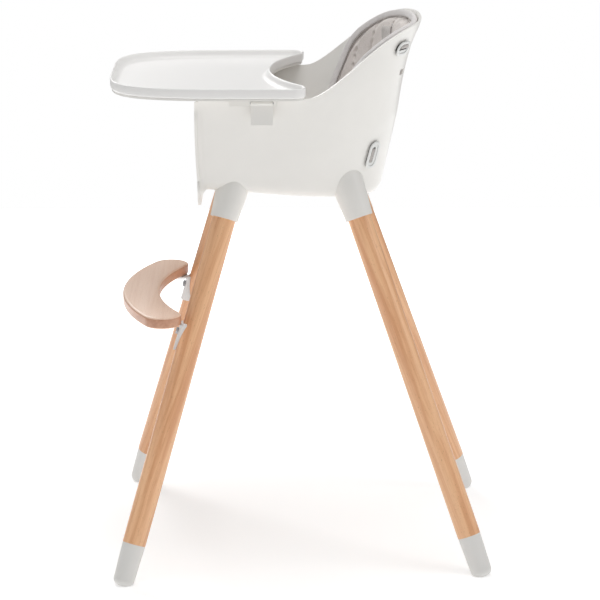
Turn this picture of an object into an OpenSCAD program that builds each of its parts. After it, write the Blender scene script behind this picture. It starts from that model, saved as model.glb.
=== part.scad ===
/* [Stand] */
// Half distance between the front feet at the floor
front_foot_x = 276; // [260:1:290]
// Front feet, distance in front of the middle at the floor
front_foot_y = 294; // [280:1:305]
// Half distance between the rear feet at the floor
rear_foot_x = 235; // [220:1:250]
// Rear feet, distance behind the middle at the floor
rear_foot_y = 299.5; // [285:0.5:310]
// Diameter of the turned legs
leg_d = 38.8; // [36:0.2:39.4]
// Length of the foot caps, measured along the leg
foot_len = 69; // [60:1:80]

/* [Seat] */
// Height of the armrest rim above the floor
arm_z = 786.5; // [784:0.5:786.5]
// Height of the top of the back
top_z = 897; // [880:1:905]
// Distance behind the middle at which the rim levels off
top_y = 203.5; // [198:0.5:208]
// Half width of the shell at its base
base_w = 115; // [113:0.5:117]
// Wall thickness of the shell
wall = 4; // [3.5:0.1:4.5]
// Depth of the front apron under the seat pan
apron_drop = 27; // [20:1:30]
// Thickness of the seat pad
seat_pad_t = 14; // [10:1:16]
// Thickness of the back pad
back_pad_t = 10; // [8:1:12]

/* [Tray] */
// Half width of the tray
tray_w = 204; // [200:1:208]
// Reach of the tray in front of the middle
tray_reach = 314; // [305:0.5:320]
// Height of the tray's rim above the floor
tray_z = 808; // [806:0.5:812]
// Radius of the belly cut-out
belly_r = 279; // [265:1:295]

/* [Footrest] */
// Height of the top of the footrest board
footrest_z = 433; // [428:1:438]
// Thickness of the footrest board
footrest_t = 19; // [16:1:21]

/* [Hidden] */
$fn = 64;
white = [0.93, 0.93, 0.92];
beech = [0.87, 0.66, 0.46];
pad_grey = [0.76, 0.73, 0.71];
web_grey = [0.6, 0.6, 0.6];
steel = [0.45, 0.45, 0.47];
rubber_grey = [0.35, 0.35, 0.36];

gap = 0.3;              // clearance between pieces that move on each other

function smooth(t) = let (c = min(max(t, 0), 1)) c * c * (3 - 2 * c);
function mix(a, b, t) = a + (b - a) * t;

// ---- Leg axes, for the left legs: the point on the floor and a point under the seat ----
FRONT = [[front_foot_x, -front_foot_y, 0], [116.5, -132, 560]];
REAR = [[rear_foot_x, rear_foot_y, 0], [93, 101, 560]];
leg_r = leg_d / 2;
tenon_r = 15;           // turned-down end of the leg inside its foot cap
tenon_up = 26;          // start of the tenon above the floor, along the leg
mouth_front = 577;      // heights of the sockets' mouths
mouth_rear = 573.5;
leg_in_socket = 28;     // length of leg inside its socket
lock_up = 15;           // lock screws' distance above the socket mouth, along the leg
lock_r = 2.5;

// Distance along the leg from the floor to the height z
function up_leg(leg, z) = z * norm(leg[1] - leg[0]) / (leg[1].z - leg[0].z);

// Draws on a leg: origin at its floor point, Z up the leg, X level and sideways
module on_leg(leg) {
    d = leg[1] - leg[0];
    turn = atan2(d.y, d.x);
    translate(leg[0]) rotate([0, acos(d.z / norm(d)), turn]) rotate([0, 0, -turn]) children();
}

// ---- Shell surface: every piece that follows the shell is worked out from these functions ----
side_draft = 0.363;     // the side walls' outward slope, sideways per millimetre up
back_rake = 0.215;      // the back wall's rearward slope
draft_z = 622;          // height at which base_w is measured
rake_z = 627;           // height at which rake_y is measured
rake_y = 137;
turn_y = -40;           // where the straight sides turn into the round back
pan_z = 610.5;          // underside of the pan above the floor, at y = 0
pan_slope = 0.09;       // the pan falls towards the back
corner_r = 18;          // outer radius between the pan and the walls
spine_end = 84;         // rear end of the pan's middle line
front_y = -173;         // front edge of the lip at its foremost
lip_len = 13;           // fore and aft length of the flared lip
lip_out = 6;            // how far the lip stands out of the side walls
top_close = 13.8;       // how far the side walls draw in above z = 800
top_flare = 4.5;        // how far the back flares out above z = 850
rim_start = 10;         // where the armrests start to rise to the back

function side_at(z) = base_w + (z - draft_z) * side_draft - top_close * smooth((z - 800) / 96);
function back_at(z) = rake_y + (z - rake_z) * back_rake - 4 * sin(180 * min(max((z - 740) / 150, 0), 1))
    + top_flare * smooth((z - 850) / 46);
function square_at(z) = 2 + 0.58 * min(max((z - draft_z) / 270, 0), 1);
function pan_at(y) = pan_z - pan_slope * y;
function front_bow(z) = 5 * pow((740 - z) / 130, 2);
function rim_at(y) = arm_z
    + (top_z - arm_z) * smooth(pow(max(y - rim_start, 0) / (top_y - rim_start), 0.83))
    - 6 * pow(min(max((front_y + lip_len + 12 - y) / (lip_len + 12), 0), 1), 2);

// Point of the left wall at a turn round the back in degrees and a height, set in by `inset`
function round_point(turn, z, inset) = [
    (side_at(z) - inset) * pow(cos(turn), 2 / square_at(z)),
    turn_y + (back_at(z) - inset - turn_y) * pow(sin(turn), 2 / square_at(z)), z];

// A ray runs from the pan's middle line out to the wall and up it. It holds its turn round the back in
// degrees, its y on the straight sides, its share of the lip, and its share of the front edge's bow.
LIP_RAYS = [for (q = [1, 0.94, 0.78, 0.5, 0]) [0, front_y + wall + lip_len * (1 - q), q, 1]];
SIDE_RAYS = [[0, -135, 0, 0.6], [0, -100, 0, 0.2], [0, -68, 0, 0]];
BACK_RAYS = [for (a = [0:5:90]) [a, turn_y, 0, 0]];
HALF_RAYS = concat(LIP_RAYS, SIDE_RAYS, BACK_RAYS);
half_n = len(HALF_RAYS) - 1;
PAN_STEPS = [0.4, 0.8];
CORNER_STEPS = [0, 30, 60, 90];
WALL_STEPS = [0.08, 0.2, 0.34, 0.5, 0.66, 0.82, 0.93, 1];
row_n = len(PAN_STEPS) + len(CORNER_STEPS) + len(WALL_STEPS);

function spine_y(r) = r[0] > 0 ? mix(turn_y, spine_end, sin(r[0])) : r[1] + r[3] * front_bow(pan_z);

function wall_point(r, z, inset) = r[0] > 0
    ? round_point(r[0], z, inset)
    : [side_at(z) - inset, r[1] + r[3] * front_bow(z), z];

// Height of the rim on a ray: the rim follows y, and y follows the height
function rim_on(r, z, n) = n == 0 ? z : rim_on(r, rim_at(wall_point(r, z, 0).y), n - 1);

// The lip turns the wall outwards in the direction `out`, a quarter turn in all
function lipped(p, r, out, size, inset) =
    let (c = sqrt(1 - r[2] * r[2])) p + out * (size + inset) * (1 - c) - [0, inset * r[2], 0];

function spine_point(r, inset) =
    lipped([0, spine_y(r), pan_at(spine_y(r)) + inset], r, [0, 0, -1], apron_drop, inset);

// Point of the shell's sheet on a ray, row j from the pan to the rim, `inset` in from the outer face
function sheet_point(r, j, inset) =
    let (cr = corner_r - inset, foot = wall_point(r, pan_at(spine_y(r)), inset),
         inward = [-foot.x, spine_y(r) - foot.y], way = inward / max(norm(inward), 0.001),
         edge = [foot.x, foot.y] + way * cr, floor_z = pan_at(edge.y) + inset,
         np = len(PAN_STEPS), nc = len(CORNER_STEPS))
    j < np
        ? let (f = PAN_STEPS[j], y = mix(spine_y(r), edge.y, f))
          lipped([edge.x * f, y, pan_at(y) + inset], r, [0, 0, -1], apron_drop, inset)
    : j < np + nc
        ? let (b = CORNER_STEPS[j - np], z = floor_z + cr * (1 - cos(b)), w = wall_point(r, z, inset),
               in = way * cr * (1 - sin(b)))
          lipped(w + [in.x, in.y, 0], r, [sin(b), 0, -cos(b)],
                 mix(lip_out, apron_drop, cos(b)), inset)
    : let (low = floor_z + cr, z = mix(low, rim_on(r, arm_z, 6), WALL_STEPS[j - np - nc]))
      lipped(wall_point(r, z, inset), r, [1, 0, 0], lip_out * (1 - smooth((z - 750) / 20)), inset);

// A closed mesh between two grids of points, `outer` and `inner`, each a list of rows of equal length.
// When it is folded, the two halves of the last row meet in the middle, so that row has no edge.
module grid_solid(outer, inner, folded = false) {
    rows = len(outer);
    cols = len(outer[0]);
    points = [for (g = [outer, inner]) for (row = g) each row];
    function at(s, i, j) = (s * rows + i) * cols + j;
    quads = concat(
        [for (i = [0:rows - 2]) for (j = [0:cols - 2])
            [at(0, i, j), at(0, i, j + 1), at(0, i + 1, j + 1), at(0, i + 1, j)]],
        [for (i = [0:rows - 2]) for (j = [0:cols - 2])
            [at(1, i + 1, j), at(1, i + 1, j + 1), at(1, i, j + 1), at(1, i, j)]],
        [for (i = [0:rows - 2]) [at(0, i, cols - 1), at(1, i, cols - 1), at(1, i + 1, cols - 1),
            at(0, i + 1, cols - 1)]],
        [for (i = [0:rows - 2]) [at(0, i + 1, 0), at(1, i + 1, 0), at(1, i, 0), at(0, i, 0)]],
        [for (j = [0:cols - 2]) [at(0, 0, j), at(1, 0, j), at(1, 0, j + 1), at(0, 0, j + 1)]],
        folded ? [] : [for (j = [0:cols - 2]) [at(0, rows - 1, j + 1), at(1, rows - 1, j + 1),
            at(1, rows - 1, j), at(0, rows - 1, j)]]);
    polyhedron(points, [for (q = quads) each halves(q, points)]);
}

// A bent quad as two triangles, cut along its shorter diagonal
function halves(q, pts) = norm(pts[q[0]] - pts[q[2]]) < norm(pts[q[1]] - pts[q[3]])
    ? [[q[0], q[1], q[2]], [q[0], q[2], q[3]]] : [[q[0], q[1], q[3]], [q[1], q[2], q[3]]];

function flipped(p) = [-p.x, p.y, p.z];
function whole_row(half) = concat([for (i = [len(half) - 1:-1:1]) flipped(half[i])], half);

// The shell's sheet: each row runs from the right rim under the pan to the left rim
function shell_row(r, inset) =
    whole_row(concat([spine_point(r, inset)], [for (j = [0:row_n - 1]) sheet_point(r, j, inset)]));

module shell_wall() {
    grid_solid([for (r = HALF_RAYS) shell_row(r, 0)], [for (r = HALF_RAYS) shell_row(r, wall)], true);
}

function side_way(turn, z) = round_point(turn + 1, z, 0) - round_point(turn - 1, z, 0);
function up_way(turn, z) = round_point(turn, z + 1, 0) - round_point(turn, z - 1, 0);
function out_way(turn, z) = let (c = cross(side_way(turn, z), up_way(turn, z))) c / norm(c);

// Draws on the outside of the left half of the shell: X sideways, Y up the wall, Z outwards
module on_wall(turn, z) {
    p = round_point(turn, z, 0);
    out = out_way(turn, z);
    s = side_way(turn, z) / norm(side_way(turn, z));
    v = cross(out, s);
    multmatrix([[s.x, v.x, out.x, p.x], [s.y, v.y, out.y, p.y], [s.z, v.z, out.z, p.z], [0, 0, 0, 1]])
        children();
}

// Draws on the inside of the pan: X to the left, Y back along it, Z square to it
module on_pan(y) {
    translate([0, y, pan_at(y) + wall]) rotate([-atan(pan_slope), 0, 0]) children();
}

// Children for the left side as they are, for the right side mirrored
module on_side(left) {
    mirror([left ? 0 : 1, 0, 0]) children();
}

module both_sides() {
    children();
    mirror([1, 0, 0]) children();
}

module stadium(length, width) {
    square([length - width, width], center = true);
    for (s = [1, -1]) translate([s * (length - width) / 2, 0]) circle(d = width);
}

// ---- Where the harness passes the shell ----
SHOULDER = [61, 860];   // turn round the back, and height
SPARE = [73, 814];      // unused lower slots for the shoulder straps
WAIST = [55, 679];
strap_w = 25;
strap_t = 1.6;
slot_l = 29;
slot_t = 4.5;
crotch_y = -62;

module harness_slots() {
    both_sides() {
        on_wall(SHOULDER[0], SHOULDER[1]) cube([slot_l, slot_t, 60], center = true);
        on_wall(WAIST[0], WAIST[1]) cube([slot_t, slot_l, 60], center = true);
    }
    on_pan(crotch_y) cube([slot_l, slot_t, 60], center = true);
}

module spare_slots() {
    both_sides() on_wall(SPARE[0], SPARE[1]) translate([0, 0, -15]) linear_extrude(30) stadium(26, 10);
}

// ---- Seat ----
post_y = -137;          // middle of the crotch post on the pan
post_screw_x = 24;
post_screw_r = 2;

module seat_shell() {
    color(white) resize([0, 0, 0]) difference() {
        shell_wall();
        harness_slots();
        spare_slots();
        on_pan(post_y) for (s = [1, -1]) translate([s * post_screw_x, 0, -10])
            cylinder(r = post_screw_r + 0.2, h = 20, $fn = 24);
    }
}

// The space that the shell's lower part takes, filled
module shell_fill() {
    first = len(LIP_RAYS) - 1;
    points = [for (i = [first:half_n]) for (j = [0:row_n - 5]) sheet_point(HALF_RAYS[i], j, 0)];
    all = concat(points, [for (p = points) flipped(p)]);
    hull() polyhedron(all, [[for (i = [0:len(all) - 1]) i]]);
}

module lock_hole(leg, mouth_z, r, from, to) {
    on_leg(leg) translate([0, 0, up_leg(leg, mouth_z) + lock_up]) rotate([0, -90, 0])
        translate([0, 0, from]) cylinder(r = r, h = to - from);
}

module leg_socket(leg, mouth_z) {
    socket_l = 92;
    color(white) difference() {
        on_leg(leg) translate([0, 0, up_leg(leg, mouth_z)]) cylinder(r1 = 23.2, r2 = 30, h = socket_l);
        shell_fill();
        on_leg(leg) translate([0, 0, up_leg(leg, mouth_z) - 1])
            cylinder(r = leg_r + 0.1, h = leg_in_socket + 1.2);
        lock_hole(leg, mouth_z, lock_r + 0.1, 0, 40);
        lock_hole(leg, mouth_z, 4.6, 21.8, 40);
    }
}

module leg_lock_screws() {
    color(steel) both_sides() for (l = [[FRONT, mouth_front], [REAR, mouth_rear]]) {
        lock_hole(l[0], l[1], lock_r, 6, 22);
        difference() {
            lock_hole(l[0], l[1], 4.4, 21.9, 24);
            on_leg(l[0]) translate([0, 0, up_leg(l[0], l[1]) + lock_up]) rotate([0, -90, 0])
                translate([0, 0, 23]) cylinder(r = 2, h = 2, $fn = 6);
        }
    }
}

module leg(leg_line, mouth_z) {
    top = up_leg(leg_line, mouth_z) + leg_in_socket;
    color(beech) difference() {
        on_leg(leg_line) {
            translate([0, 0, foot_len]) cylinder(r = leg_r, h = top - foot_len);
            translate([0, 0, tenon_up]) cylinder(r = tenon_r, h = foot_len - tenon_up);
        }
        lock_hole(leg_line, mouth_z, lock_r + 0.1, 5.5, 22);
        if (leg_line == FRONT) bracket_bolt_hole(bolt_r + 0.1, -10.5, leg_r + 1);
    }
}

foot_tip_r = 12;
foot_low_r = 17.6;
glide_r = 6;
glide_in = 4;           // glides' distance from the leg axis, towards the middle of the chair

module glide(leg_line, r, h) {
    d = [leg_line[1].x, leg_line[1].y] - [leg_line[0].x, leg_line[0].y];
    at = leg_line[0] + [d.x, d.y, 0] / norm(d) * glide_in;
    translate(at) cylinder(r = r, h = h);
}

module foot_cap(leg_line) {
    low = -3;
    tip = [foot_low_r - foot_tip_r, low + foot_tip_r];
    outline = concat([[0, low]], [for (a = [-90:10:0]) tip + foot_tip_r * [cos(a), sin(a)]],
        [[leg_r - 0.2, foot_len], [0, foot_len]]);
    color(white) difference() {
        on_leg(leg_line) rotate_extrude() polygon(outline);
        translate(leg_line[0] - [40, 40, 40]) cube([80, 80, 40]);
        on_leg(leg_line) translate([0, 0, tenon_up - 0.5]) cylinder(r = tenon_r + 0.1, h = foot_len);
        glide(leg_line, glide_r + 0.1, 1.6);
    }
}

module foot_glides() {
    color(rubber_grey) both_sides() for (l = [FRONT, REAR]) glide(l, glide_r, 1.5);
}

// ---- Footrest ----
board_mid_r = 394;      // the board is a band bent to this radius, with round ends
board_half_w = 31;
board_y = 123.5;        // centre of the bend
board_turn = 26.9;      // half the angle that the band takes
bolt_r = 3;
bracket_turn = -4;      // turn of the brackets from straight ahead, outwards if above 0
bracket_w = 25;
bracket_low = 371;
bolt_z = 394;
tab_reach = 74;         // how far the brackets reach out under the board
SCREW_REACH = [42, 62];

function arc(centre, r, from, to, steps) =
    [for (i = [0:steps]) centre + r * [cos(mix(from, to, i / steps)), sin(mix(from, to, i / steps))]];

module footrest_outline() {
    mid = [0, board_y];
    function end(s) = mid + board_mid_r * [s * sin(board_turn), -cos(board_turn)];
    polygon(concat(
        arc(mid, board_mid_r + board_half_w, -90 - board_turn, -90 + board_turn, 24),
        arc(end(1), board_half_w, -90 + board_turn, 90 + board_turn, 16),
        arc(mid, board_mid_r - board_half_w, -90 + board_turn, -90 - board_turn, 24),
        arc(end(-1), board_half_w, 90 - board_turn, 270 - board_turn, 16)));
}

module footrest_board() {
    color(beech) difference() {
        translate([0, 0, footrest_z - footrest_t]) linear_extrude(footrest_t) footrest_outline();
        both_sides() in_bracket_frame() for (reach = SCREW_REACH)
            translate([0, -reach, footrest_z - footrest_t - 1]) cylinder(r = 2.1, h = 13);
    }
}

// A hole or shank for a bracket bolt, from the leg's axis outwards to the front
module bracket_bolt_hole(r, from, to) {
    on_leg(FRONT) translate([0, 0, up_leg(FRONT, bolt_z)]) rotate([90, 0, bracket_turn])
        translate([0, 0, from]) cylinder(r = r, h = to - from);
}

// Draws in plan from the leg's axis at the bolt, with -Y towards the bracket's front
module in_bracket_frame() {
    axis = mix(FRONT[0], FRONT[1], bolt_z / FRONT[1].z);
    translate([axis.x, axis.y, 0]) rotate([0, 0, bracket_turn]) children();
}

module footrest_bracket() {
    under = footrest_z - footrest_t;
    saddle_t = 4;
    tab_t = 3;
    color(white) difference() {
        union() {
            intersection() {
                on_leg(FRONT) translate([0, 0, up_leg(FRONT, bolt_z) - 60])
                    cylinder(r = leg_r + saddle_t, h = 120);
                in_bracket_frame() translate([-bracket_w / 2, -45, bracket_low])
                    cube([bracket_w, 38, under - bracket_low]);
            }
            in_bracket_frame() translate([-bracket_w / 2, -tab_reach, under - tab_t])
                cube([bracket_w, tab_reach - 18, tab_t]);
        }
        on_leg(FRONT) cylinder(r = leg_r + 0.1, h = 600);
        bracket_bolt_hole(bolt_r + 0.1, 0, 60);
        in_bracket_frame() for (reach = SCREW_REACH)
            translate([0, -reach, under - 10]) cylinder(r = 2.1, h = 13);
    }
}

module bracket_bolts() {
    head = leg_r + 4.1;
    color(steel) both_sides() {
        bracket_bolt_hole(bolt_r, -10, head);
        difference() {
            bracket_bolt_hole(5.5, head, head + 3.5);
            bracket_bolt_hole(2.5, head + 1.5, head + 4, $fn = 6);
        }
    }
}

module footrest_screws() {
    under = footrest_z - footrest_t - 3;
    color(steel) both_sides() in_bracket_frame() for (reach = SCREW_REACH) translate([0, -reach, under]) {
        cylinder(r = 2, h = 14);
        translate([0, 0, -2.2]) cylinder(r = 4, h = 2.2);
    }
}

// ---- Rails and tray ----
rail_in = 157;          // inner face of the rails
rail_low = 771;
rail_high = 783;
RAIL_Y = [-150, -42];
plate_low = 788.4;
tray_low = 792;
under_in = 2.5;         // how far the plate and the tray's foot stand in from the tray's side
corner_bend = 0.45;     // power that rounds the tray's front corners, 1 for an ellipse
tip_r = 20.5;           // rounding of the tray's rear tips
belly_front = -51;      // foremost point of the belly cut-out
rim_w = 6.5;
floor_t = 3;

function wall_in(z) = side_at(z) - wall;

// A profile drawn in X and Z, run along Y
module along_y(from, to) {
    translate([0, to, 0]) rotate([90, 0, 0]) linear_extrude(to - from) children();
}

module tray_rail() {
    color(white) along_y(RAIL_Y[0], RAIL_Y[1]) polygon([[rail_in, rail_low], [wall_in(rail_low), rail_low],
        [wall_in(rail_high), rail_high], [rail_in, rail_high]]);
}

// The tray's outline in plan, set in by `inset`
module tray_outline(inset) {
    w = tray_w - inset;
    reach = tray_reach - inset;
    belly = belly_r + inset;
    belly_x = 166;
    belly_turn = asin(belly_x / belly_r);
    tip = [tray_w - tip_r, -14];
    half = concat(
        [for (t = [90:-3.75:3.75]) [w * pow(cos(t), corner_bend), -reach * pow(sin(t), corner_bend)]],
        arc(tip, tip_r - inset, 0, 120, 8),
        arc([0, belly_front + belly_r], belly, -90 + belly_turn, -90, 12));
    n = len(half);
    polygon(concat(half, [for (i = [n - 2:-1:1]) [-half[i].x, half[i].y]]));
}

module feeding_tray() {
    foot_h = 4.5;
    color(white) difference() {
        union() {
            translate([0, 0, tray_low]) linear_extrude(foot_h) tray_outline(under_in);
            translate([0, 0, tray_low + foot_h]) linear_extrude(tray_z - tray_low - foot_h) tray_outline(0);
        }
        translate([0, 0, tray_low + floor_t]) linear_extrude(40) tray_outline(rim_w);
    }
}

LATCH_Y = [-82, -46];
LATCH_AXIS = [180.5, 781.5];
barrel_r = 3.8;
pin_r = 1.5;
ear_front = -116;
ear_rear = -40;

module runner() {
    under = rail_low - gap;
    over = rail_high + gap;
    web = rail_in - gap;
    color(white) along_y(RAIL_Y[0] + 2, RAIL_Y[1] - 2) polygon([
        [web - 5, under - 4.2], [rail_in + 4.5, under - 4.2], [rail_in + 4.5, under], [web, under],
        [web, over], [rail_in + 11, over], [rail_in + 11, plate_low], [web - 5, plate_low]]);
}

module latch_ears() {
    inner = 176.3;
    for (y = [[ear_front, LATCH_Y[0] - 1], [LATCH_Y[1] + 1, ear_rear]])
        translate([inner, y[0], plate_low - 11]) cube([8.7, y[1] - y[0], 11]);
}

module on_latch_axis(y) {
    translate([LATCH_AXIS[0], y, LATCH_AXIS[1]]) rotate([-90, 0, 0]) children();
}

module tray_carrier() {
    color(white) difference() {
        union() {
            translate([0, 0, plate_low]) linear_extrude(tray_low - plate_low - 0.2) tray_outline(under_in);
            both_sides() {
                runner();
                latch_ears();
            }
        }
        both_sides() on_latch_axis(-94) cylinder(r = pin_r + 0.05, h = 60);
    }
}

module tray_latch() {
    paddle_t = 3.7;
    y0 = LATCH_Y[0] + gap;
    y1 = LATCH_Y[1] - gap;
    low = 746;
    x0 = LATCH_AXIS[0] - paddle_t / 2;
    color(white) difference() {
        union() {
            on_latch_axis(y0) cylinder(r = barrel_r, h = y1 - y0);
            translate([x0, y0, low]) cube([paddle_t, y1 - y0, LATCH_AXIS[1] - low]);
            along_y(y0 + 8, y1 - 8)
                polygon([[x0 + 1, 775], [side_at(775) + 0.7, 775], [side_at(771) + 0.7, 771], [x0 + 1, 767]]);
        }
        on_latch_axis(y0 - 1) cylinder(r = pin_r + 0.2, h = 60);
    }
}

module latch_pin() {
    color(steel) on_latch_axis(-93) cylinder(r = pin_r, h = 52);
}

// ---- Crotch post ----
module crotch_post() {
    post_h = 128;
    color(white) on_pan(post_y) difference() {
        union() {
            linear_extrude(4) stadium(66, 34);
            hull() for (s = [1, -1]) {
                translate([s * 12, 0, post_h - 9]) sphere(r = 9, $fn = 32);
                translate([s * 11, 0, 3.9]) cylinder(r = 11, h = 1, $fn = 32);
            }
        }
        for (s = [1, -1]) translate([s * post_screw_x, 0, -1]) cylinder(r = post_screw_r + 0.1, h = 4.5);
    }
}

module crotch_post_screws() {
    color(steel) on_pan(post_y) for (s = [1, -1]) translate([s * post_screw_x, 0, 0]) {
        translate([0, 0, -wall]) cylinder(r = post_screw_r, h = wall + 3);
        translate([0, 0, -wall - 2.2]) cylinder(r = 3.8, h = 2.1);
    }
}

// ---- Pads ----
pad_gap = 0.4;          // under the seat pad
back_gap = 1.5;         // behind the back pad
pad_half_w = 86;
pad_front = -112;
pad_rear = 104;

module seat_pad() {
    mid_y = -30;
    side = [for (a = [0:7.5:90])
        [pad_half_w * pow(cos(a), 0.9), mix(mid_y, pad_rear, pow(sin(a), 0.9))]];
    front = [for (a = [82.5:-7.5:7.5])
        [pad_half_w * pow(cos(a), 0.4), mix(mid_y, pad_front, pow(sin(a), 0.4))]];
    half = concat([[0, pad_front]], front, side);
    n = len(half);
    color(pad_grey) difference() {
        on_pan(0) translate([0, 0, pad_gap]) linear_extrude(seat_pad_t)
            polygon(concat(half, [for (i = [n - 2:-1:1]) [-half[i].x, half[i].y]]));
        on_pan(crotch_y) cube([slot_l, slot_t + 1, 60], center = true);
    }
}

pad_low_z = 634;
pad_over_rim = 1;
WING = [14, 33];        // turn of the wings' front edges, low down and at the rim
back_inset = wall + back_gap + back_pad_t;  // the back pad's front, in from the shell's outside

function wing_turn(v) = mix(WING[0], WING[1], pow(v, 1.3));

// Row v of the back pad, from 0 at the bottom to 1 above the rim, `inset` in from the shell's outside
function back_row(v, inset) = whole_row([for (u = [0:1 / 12:1])
    let (turn = mix(90, wing_turn(v), u),
         top = rim_on([turn, 0, 0, 0], arm_z, 6) + pad_over_rim)
    round_point(turn, mix(pad_low_z, top, v), inset)]);

module back_pad() {
    color(pad_grey) resize([0, 0, 0]) difference() {
        grid_solid([for (v = [0:0.125:1]) back_row(v, back_inset - back_pad_t)],
                   [for (v = [0:0.125:1]) back_row(v, back_inset)]);
        harness_slots();
    }
}

// ---- Harness ----
buckle_y = 2;
BUCKLE = [46, 52, 13];
button_r = 9;
button_travel = 2.5;

// A point on the outside of the shell, moved in by `depth` square to it
function in_from_wall(place, depth) =
    round_point(place[0], place[1], 0) - out_way(place[0], place[1]) * depth;

function above_pan(x, y, h) = [x, y, pan_at(y) + wall + pad_gap + seat_pad_t + h];
function in_front_of_back(turn, z, h) = round_point(turn, z, back_inset + h);
function across_back(turn, z) = -side_way(turn, z) / norm(side_way(turn, z));

// A flat strap along a route; each stop is a point and the direction of the strap's width there
module strap(stops, width) {
    n = len(stops);
    function way(i) = stops[min(i + 1, n - 1)][0] - stops[max(i - 1, 0)][0];
    function face(i) = let (c = cross(way(i), stops[i][1])) c / norm(c);
    function wide(i) = let (c = cross(face(i), way(i))) c / norm(c);
    function ring(i, t) = [for (s = [-0.5, -0.17, 0.17, 0.5])
        stops[i][0] + wide(i) * s * width + face(i) * t * strap_t];
    grid_solid([for (i = [0:n - 1]) ring(i, 0.5)], [for (i = [0:n - 1]) ring(i, -0.5)]);
}

// Stops between two stops along a soft curve that leaves the first along a and meets the second along b
function bend(p, a, b, q, wa, wb, steps) = [for (i = [0:steps]) let (t = i / steps, u = 1 - t)
    [u * u * u * p + 3 * u * u * t * a + 3 * u * t * t * b + t * t * t * q, mix(wa, wb, t)]];

module shoulder_strap() {
    across = across_back(SHOULDER[0], SHOULDER[1]);
    route = concat(
        [for (depth = [-1, back_inset + 1.5, back_inset + 5]) [in_from_wall(SHOULDER, depth), across]],
        [for (z = [842:-25:692]) let (up = (z - 692) / 150, turn = mix(80, 66, up))
            [in_front_of_back(turn, z, mix(3, 5.5, up)), across_back(turn, z)]],
        bend(in_front_of_back(80.5, 678, 3.5), in_front_of_back(81, 652, 6), above_pan(31, 76, 5),
             above_pan(24, 44, 7), across_back(80.5, 678), [0.8, 0.2, 0], 8));
    color(web_grey) strap(route, strap_w);
}

module waist_strap() {
    upright = [0, 0, 1];
    color(web_grey) strap(concat(
        [[in_from_wall(WAIST, -1), upright], [in_from_wall(WAIST, back_inset + 2), upright]],
        bend(in_from_wall(WAIST, back_inset + 9), in_from_wall(WAIST, back_inset + 34), above_pan(72, 30, 8),
             above_pan(45, 12, 7), upright, [0.1, 0.8, 0.2], 10)), strap_w);
}

module crotch_strap() {
    level = [1, 0, 0];
    under = -seat_pad_t - pad_gap - wall - 6;
    color(web_grey) strap(concat(
        [[above_pan(0, crotch_y - 1, under), level], [above_pan(0, crotch_y, 2), level]],
        bend(above_pan(0, crotch_y + 2, 6), above_pan(0, crotch_y + 8, 14), above_pan(0, -38, 9),
             above_pan(0, buckle_y - BUCKLE.y / 2 + 1, 7), level, level, 6)), strap_w);
}

// Oval plate with a slot and a bar, on the outside of the shell
module anchor(length, width) {
    color(web_grey) difference() {
        translate([0, 0, 1.2]) linear_extrude(4.2) stadium(length, width);
        translate([0, 0, 3.2]) linear_extrude(4) stadium(length - 9, width - 9);
        cube([slot_l, slot_t + 1, 20], center = true);
    }
}

module shoulder_anchor() {
    on_wall(SHOULDER[0], SHOULDER[1]) anchor(41, 26);
}

module waist_anchor() {
    on_wall(WAIST[0], WAIST[1]) rotate([0, 0, 90]) anchor(50, 25);
}

module crotch_anchor() {
    on_pan(crotch_y) translate([0, 0, -wall]) rotate([180, 0, 0]) anchor(42, 24);
}

module on_buckle() {
    on_pan(buckle_y) translate([0, 0, pad_gap + seat_pad_t + 0.4]) children();
}

module tongue_slots(grow) {
    for (s = [-1, 1]) translate([s * BUCKLE.x / 2, 9, BUCKLE.z / 2])
        cube([22 + grow, 16 + grow, 3 + grow], center = true);
}

module buckle_body() {
    color(web_grey) on_buckle() difference() {
        hull() for (x = [-1, 1]) for (y = [-1, 1])
            translate([x * (BUCKLE.x / 2 - 9), y * (BUCKLE.y / 2 - 9), 0]) {
                cylinder(r = 8, h = BUCKLE.z, $fn = 32);
                translate([0, 0, 2]) cylinder(r = 9, h = BUCKLE.z - 4, $fn = 32);
            }
        translate([0, 4, 2]) cylinder(r = button_r + gap, h = 20);
        tongue_slots(0.4);
        translate([0, -BUCKLE.y / 2, BUCKLE.z / 2]) cube([27, 8, 3.2], center = true);
    }
}

module buckle_button() {
    color(rubber_grey) on_buckle() translate([0, 4, 2 + button_travel + gap])
        cylinder(r = button_r, h = BUCKLE.z - 2 - button_travel - gap - 0.6);
}

module buckle_tongue() {
    color(steel) on_buckle() translate([BUCKLE.x / 2, 9, BUCKLE.z / 2]) difference() {
        union() {
            translate([-1, 0, 0]) cube([19, 15.4, 2.6], center = true);
            translate([12, 0, 0]) cube([9, 30, 2.6], center = true);
        }
        translate([13, 0, 0]) cube([4, 26, 10], center = true);
    }
}

seat_shell();
leg_socket(FRONT, mouth_front);  // leg_socket_front_left
on_side(false) leg_socket(FRONT, mouth_front);  // leg_socket_front_right
leg_socket(REAR, mouth_rear);  // leg_socket_rear_left
on_side(false) leg_socket(REAR, mouth_rear);  // leg_socket_rear_right
leg(FRONT, mouth_front);  // leg_front_left
on_side(false) leg(FRONT, mouth_front);  // leg_front_right
leg(REAR, mouth_rear);  // leg_rear_left
on_side(false) leg(REAR, mouth_rear);  // leg_rear_right
foot_cap(FRONT);  // foot_front_left
on_side(false) foot_cap(FRONT);  // foot_front_right
foot_cap(REAR);  // foot_rear_left
on_side(false) foot_cap(REAR);  // foot_rear_right
foot_glides();
leg_lock_screws();
footrest_board();
footrest_bracket();  // footrest_bracket_left
on_side(false) footrest_bracket();  // footrest_bracket_right
bracket_bolts();
footrest_screws();
tray_rail();  // tray_rail_left
on_side(false) tray_rail();  // tray_rail_right
crotch_post();
crotch_post_screws();
seat_pad();
back_pad();
shoulder_strap();  // shoulder_strap_left
on_side(false) shoulder_strap();  // shoulder_strap_right
waist_strap();  // waist_strap_left
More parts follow.
